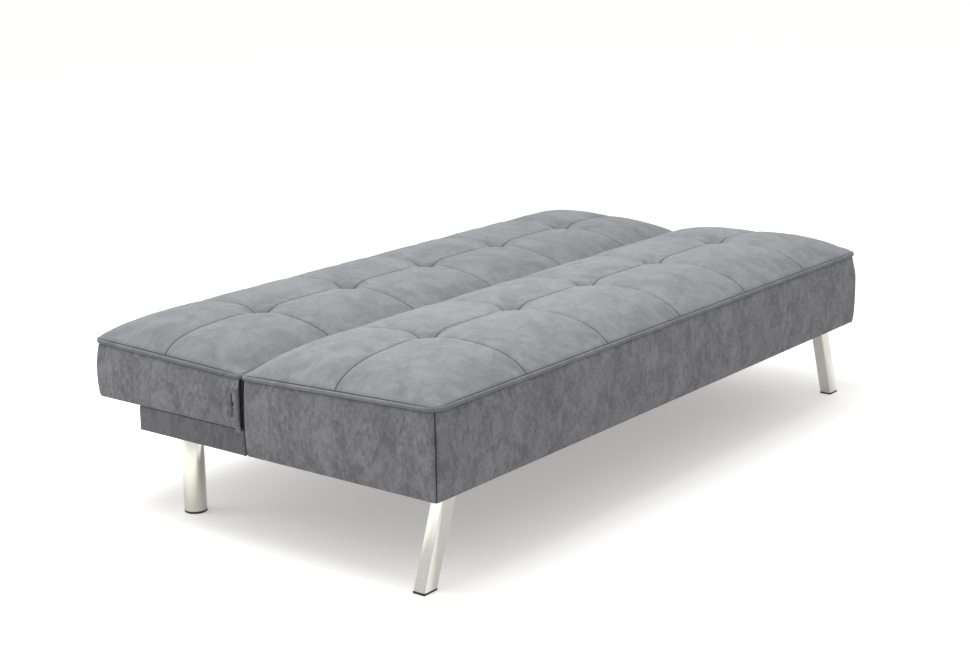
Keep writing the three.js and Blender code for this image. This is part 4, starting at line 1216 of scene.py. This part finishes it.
class SOFABED_OT_frame_finishes(bpy.types.Operator):
    """Gives the timber, board, cloth and steel of the inner frame their finishes"""

    bl_idname = "sofabed.frame_finishes"
    bl_label = "Frame Finishes"

    def execute(self, context):
        base_fabric = shared_material("base_velvet", base_fabric_material)
        finishes = {
            "timber": timber_material("sawn_pine"),
            "board": board_material("pressed_board"),
            "foam": foam_material("foam_block"),
            "black_cloth": cloth_material("dust_cloth", (0.012, 0.012, 0.013), (0.03, 0.03, 0.032), 300.0),
            "webbing": cloth_material("webbing", (0.03, 0.025, 0.02), (0.075, 0.065, 0.055), 170.0),
            "spring_steel": steel_material("spring_steel", (0.20, 0.21, 0.22), (0.42, 0.43, 0.44), 0.42),
            "zinc_steel": steel_material("zinc_steel", (0.46, 0.48, 0.50), (0.72, 0.74, 0.77), 0.34),
            "polished_steel": shared_material("polished_steel_legs", polished_steel_material),
            "satin_steel": shared_material("satin_steel_legs", satin_steel_material),
            "black_plastic": shared_material("black_foot_plastic", plastic_material),
            "grey_velvet": base_fabric,
            "grey_velvet_base": base_fabric,
        }
        for node, shown in frame["nodes"].items():
            name = shown.material_slots[0].material.name.split(".")[0]
            if name not in finishes:
                raise RuntimeError(f"{node} has no finish for {name}")
            shown.material_slots[0].material = finishes[name]
        return {"FINISHED"}


# ---------- stage ----------


def floor_material(s):
    """A white sweep: lit up for the eye and the steel, greyer in the light it throws back on the bed."""
    material, tree, shader = new_material("studio_white", {
        "Roughness": 0.9, "Specular IOR Level": 0.1, "Emission Color": (1.0, 0.985, 0.96),
    })
    material.cycles.emission_sampling = "NONE"
    rays = put(tree, "LightPath").outputs
    seen = arithmetic(tree, "SUBTRACT", 1.0, rays["Is Diffuse Ray"])
    feed(tree, shader.inputs["Base Color"], two_tone(tree, seen, (0.5, 0.5, 0.5), (0.99, 0.98, 0.965)))
    mirrored = arithmetic(tree, "MULTIPLY", rays["Is Glossy Ray"], s.mirror_glow)
    viewed = arithmetic(tree, "MULTIPLY", rays["Is Camera Ray"], s.floor_glow)
    feed(tree, shader.inputs["Emission Strength"], arithmetic(tree, "ADD", viewed, mirrored))
    return material


def white_sky(sky):
    """White surroundings, which light matt surfaces less than they show."""
    world = bpy.data.worlds.new("studio_sky")
    world.use_nodes = True
    world.cycles.sampling_method = "NONE"
    tree = world.node_tree
    background = tree.nodes["Background"]
    feed(tree, background.inputs["Color"], (1, 1, 1))
    matt = put(tree, "LightPath").outputs["Is Diffuse Ray"]
    feed(tree, background.inputs["Strength"], remap(tree, matt, 1.0, sky))
    return world


def softbox(name, place, size, power):
    """A square area light that looks at the bed and isn't seen itself."""
    light = bpy.data.lights.new(name, "AREA")
    light.shape = "RECTANGLE"
    light.size = light.size_y = size
    light.energy = power
    lamp = bpy.data.objects.new(name, light)
    lamp.location = place
    aim = Vector((0, 0, 0.3)) - Vector(place)
    lamp.rotation_euler = aim.to_track_quat("-Z", "Y").to_euler()
    lamp.visible_camera = False
    bpy.context.scene.collection.objects.link(lamp)


def set_camera(s):
    """Stands the camera at its place, turned by its azimuth, elevation and roll."""
    back = Vector((
        math.sin(s.azimuth) * math.cos(s.elevation),
        -math.cos(s.azimuth) * math.cos(s.elevation),
        math.sin(s.elevation),
    ))
    level = Vector((0, 0, 1)).cross(back).normalized()
    rise = back.cross(level)
    right = math.cos(s.roll) * level + math.sin(s.roll) * rise
    up = -math.sin(s.roll) * level + math.cos(s.roll) * rise
    lens = bpy.data.cameras.new("camera")
    lens.sensor_width = 36
    lens.sensor_fit = "HORIZONTAL"
    lens.lens = s.lens
    lens.clip_end = 200
    camera = bpy.data.objects.new("camera", lens)
    turn = Matrix((right, up, back)).transposed().to_4x4()
    camera.matrix_world = Matrix.Translation(s.camera_place) @ turn
    bpy.context.scene.collection.objects.link(camera)
    bpy.context.scene.camera = camera


class SOFABED_OT_stage(bpy.types.Operator):
    """Sets the white floor, the soft lights and the camera"""

    bl_idname = "sofabed.stage"
    bl_label = "Stage"

    def execute(self, context):
        s = context.scene.sofabed_stage
        scene = context.scene
        scene.view_settings.view_transform = "Standard"
        scene.view_settings.look = "None"
        floor = primitive("studio_floor", bpy.ops.mesh.primitive_plane_add, size=90, location=(0, 0, 0))
        floor.data.materials.append(floor_material(s))
        scene.world = white_sky(s.sky)
        softbox("key_softbox", (-0.5, 0.3, 2.9), 2.2, s.key_power)
        softbox("rear_softbox", (-2.2, 2.4, 1.6), 1.6, s.fill_power)
        set_camera(s)
        return {"FINISHED"}


class SOFABED_PT_panel(bpy.types.Panel):
    """Lists the sizes, colours and steps of the sofa bed"""

    bl_idname = "SOFABED_PT_panel"
    bl_label = "Sofa Bed"
    bl_space_type = "VIEW_3D"
    bl_region_type = "UI"
    bl_category = "Sofa Bed"

    def draw(self, context):
        for title, pointer in SETTINGS.items():
            box = self.layout.box()
            box.label(text=title.title())
            group = getattr(context.scene, "sofabed_" + title)
            for key in group.__annotations__:
                box.prop(group, key)
        for step in STEPS:
            self.layout.operator(step.bl_idname)


SETTINGS = {
    "cushion": CushionSettings,
    "fabric": FabricSettings,
    "metal": MetalSettings,
    "stage": StageSettings,
}
STEPS = (
    SOFABED_OT_stage,
    SOFABED_OT_seat_cushion,
    SOFABED_OT_back_cushion,
    SOFABED_OT_hinge_flaps,
    SOFABED_OT_base_upholstery,
    SOFABED_OT_front_legs,
    SOFABED_OT_rear_legs,
    SOFABED_OT_frame_finishes,
)


def register():
    for group in (*SETTINGS.values(), *STEPS, SOFABED_PT_panel):
        bpy.utils.register_class(group)
    for name, group in SETTINGS.items():
        setattr(bpy.types.Scene, "sofabed_" + name, bpy.props.PointerProperty(type=group))


def unregister():
    for name in SETTINGS:
        delattr(bpy.types.Scene, "sofabed_" + name)
    for group in reversed((*SETTINGS.values(), *STEPS, SOFABED_PT_panel)):
        bpy.utils.unregister_class(group)


def main():
    register()
    for step in STEPS:
        group, name = step.bl_idname.split(".")
        getattr(getattr(bpy.ops, group), name)()


if __name__ == "__main__":
    main()
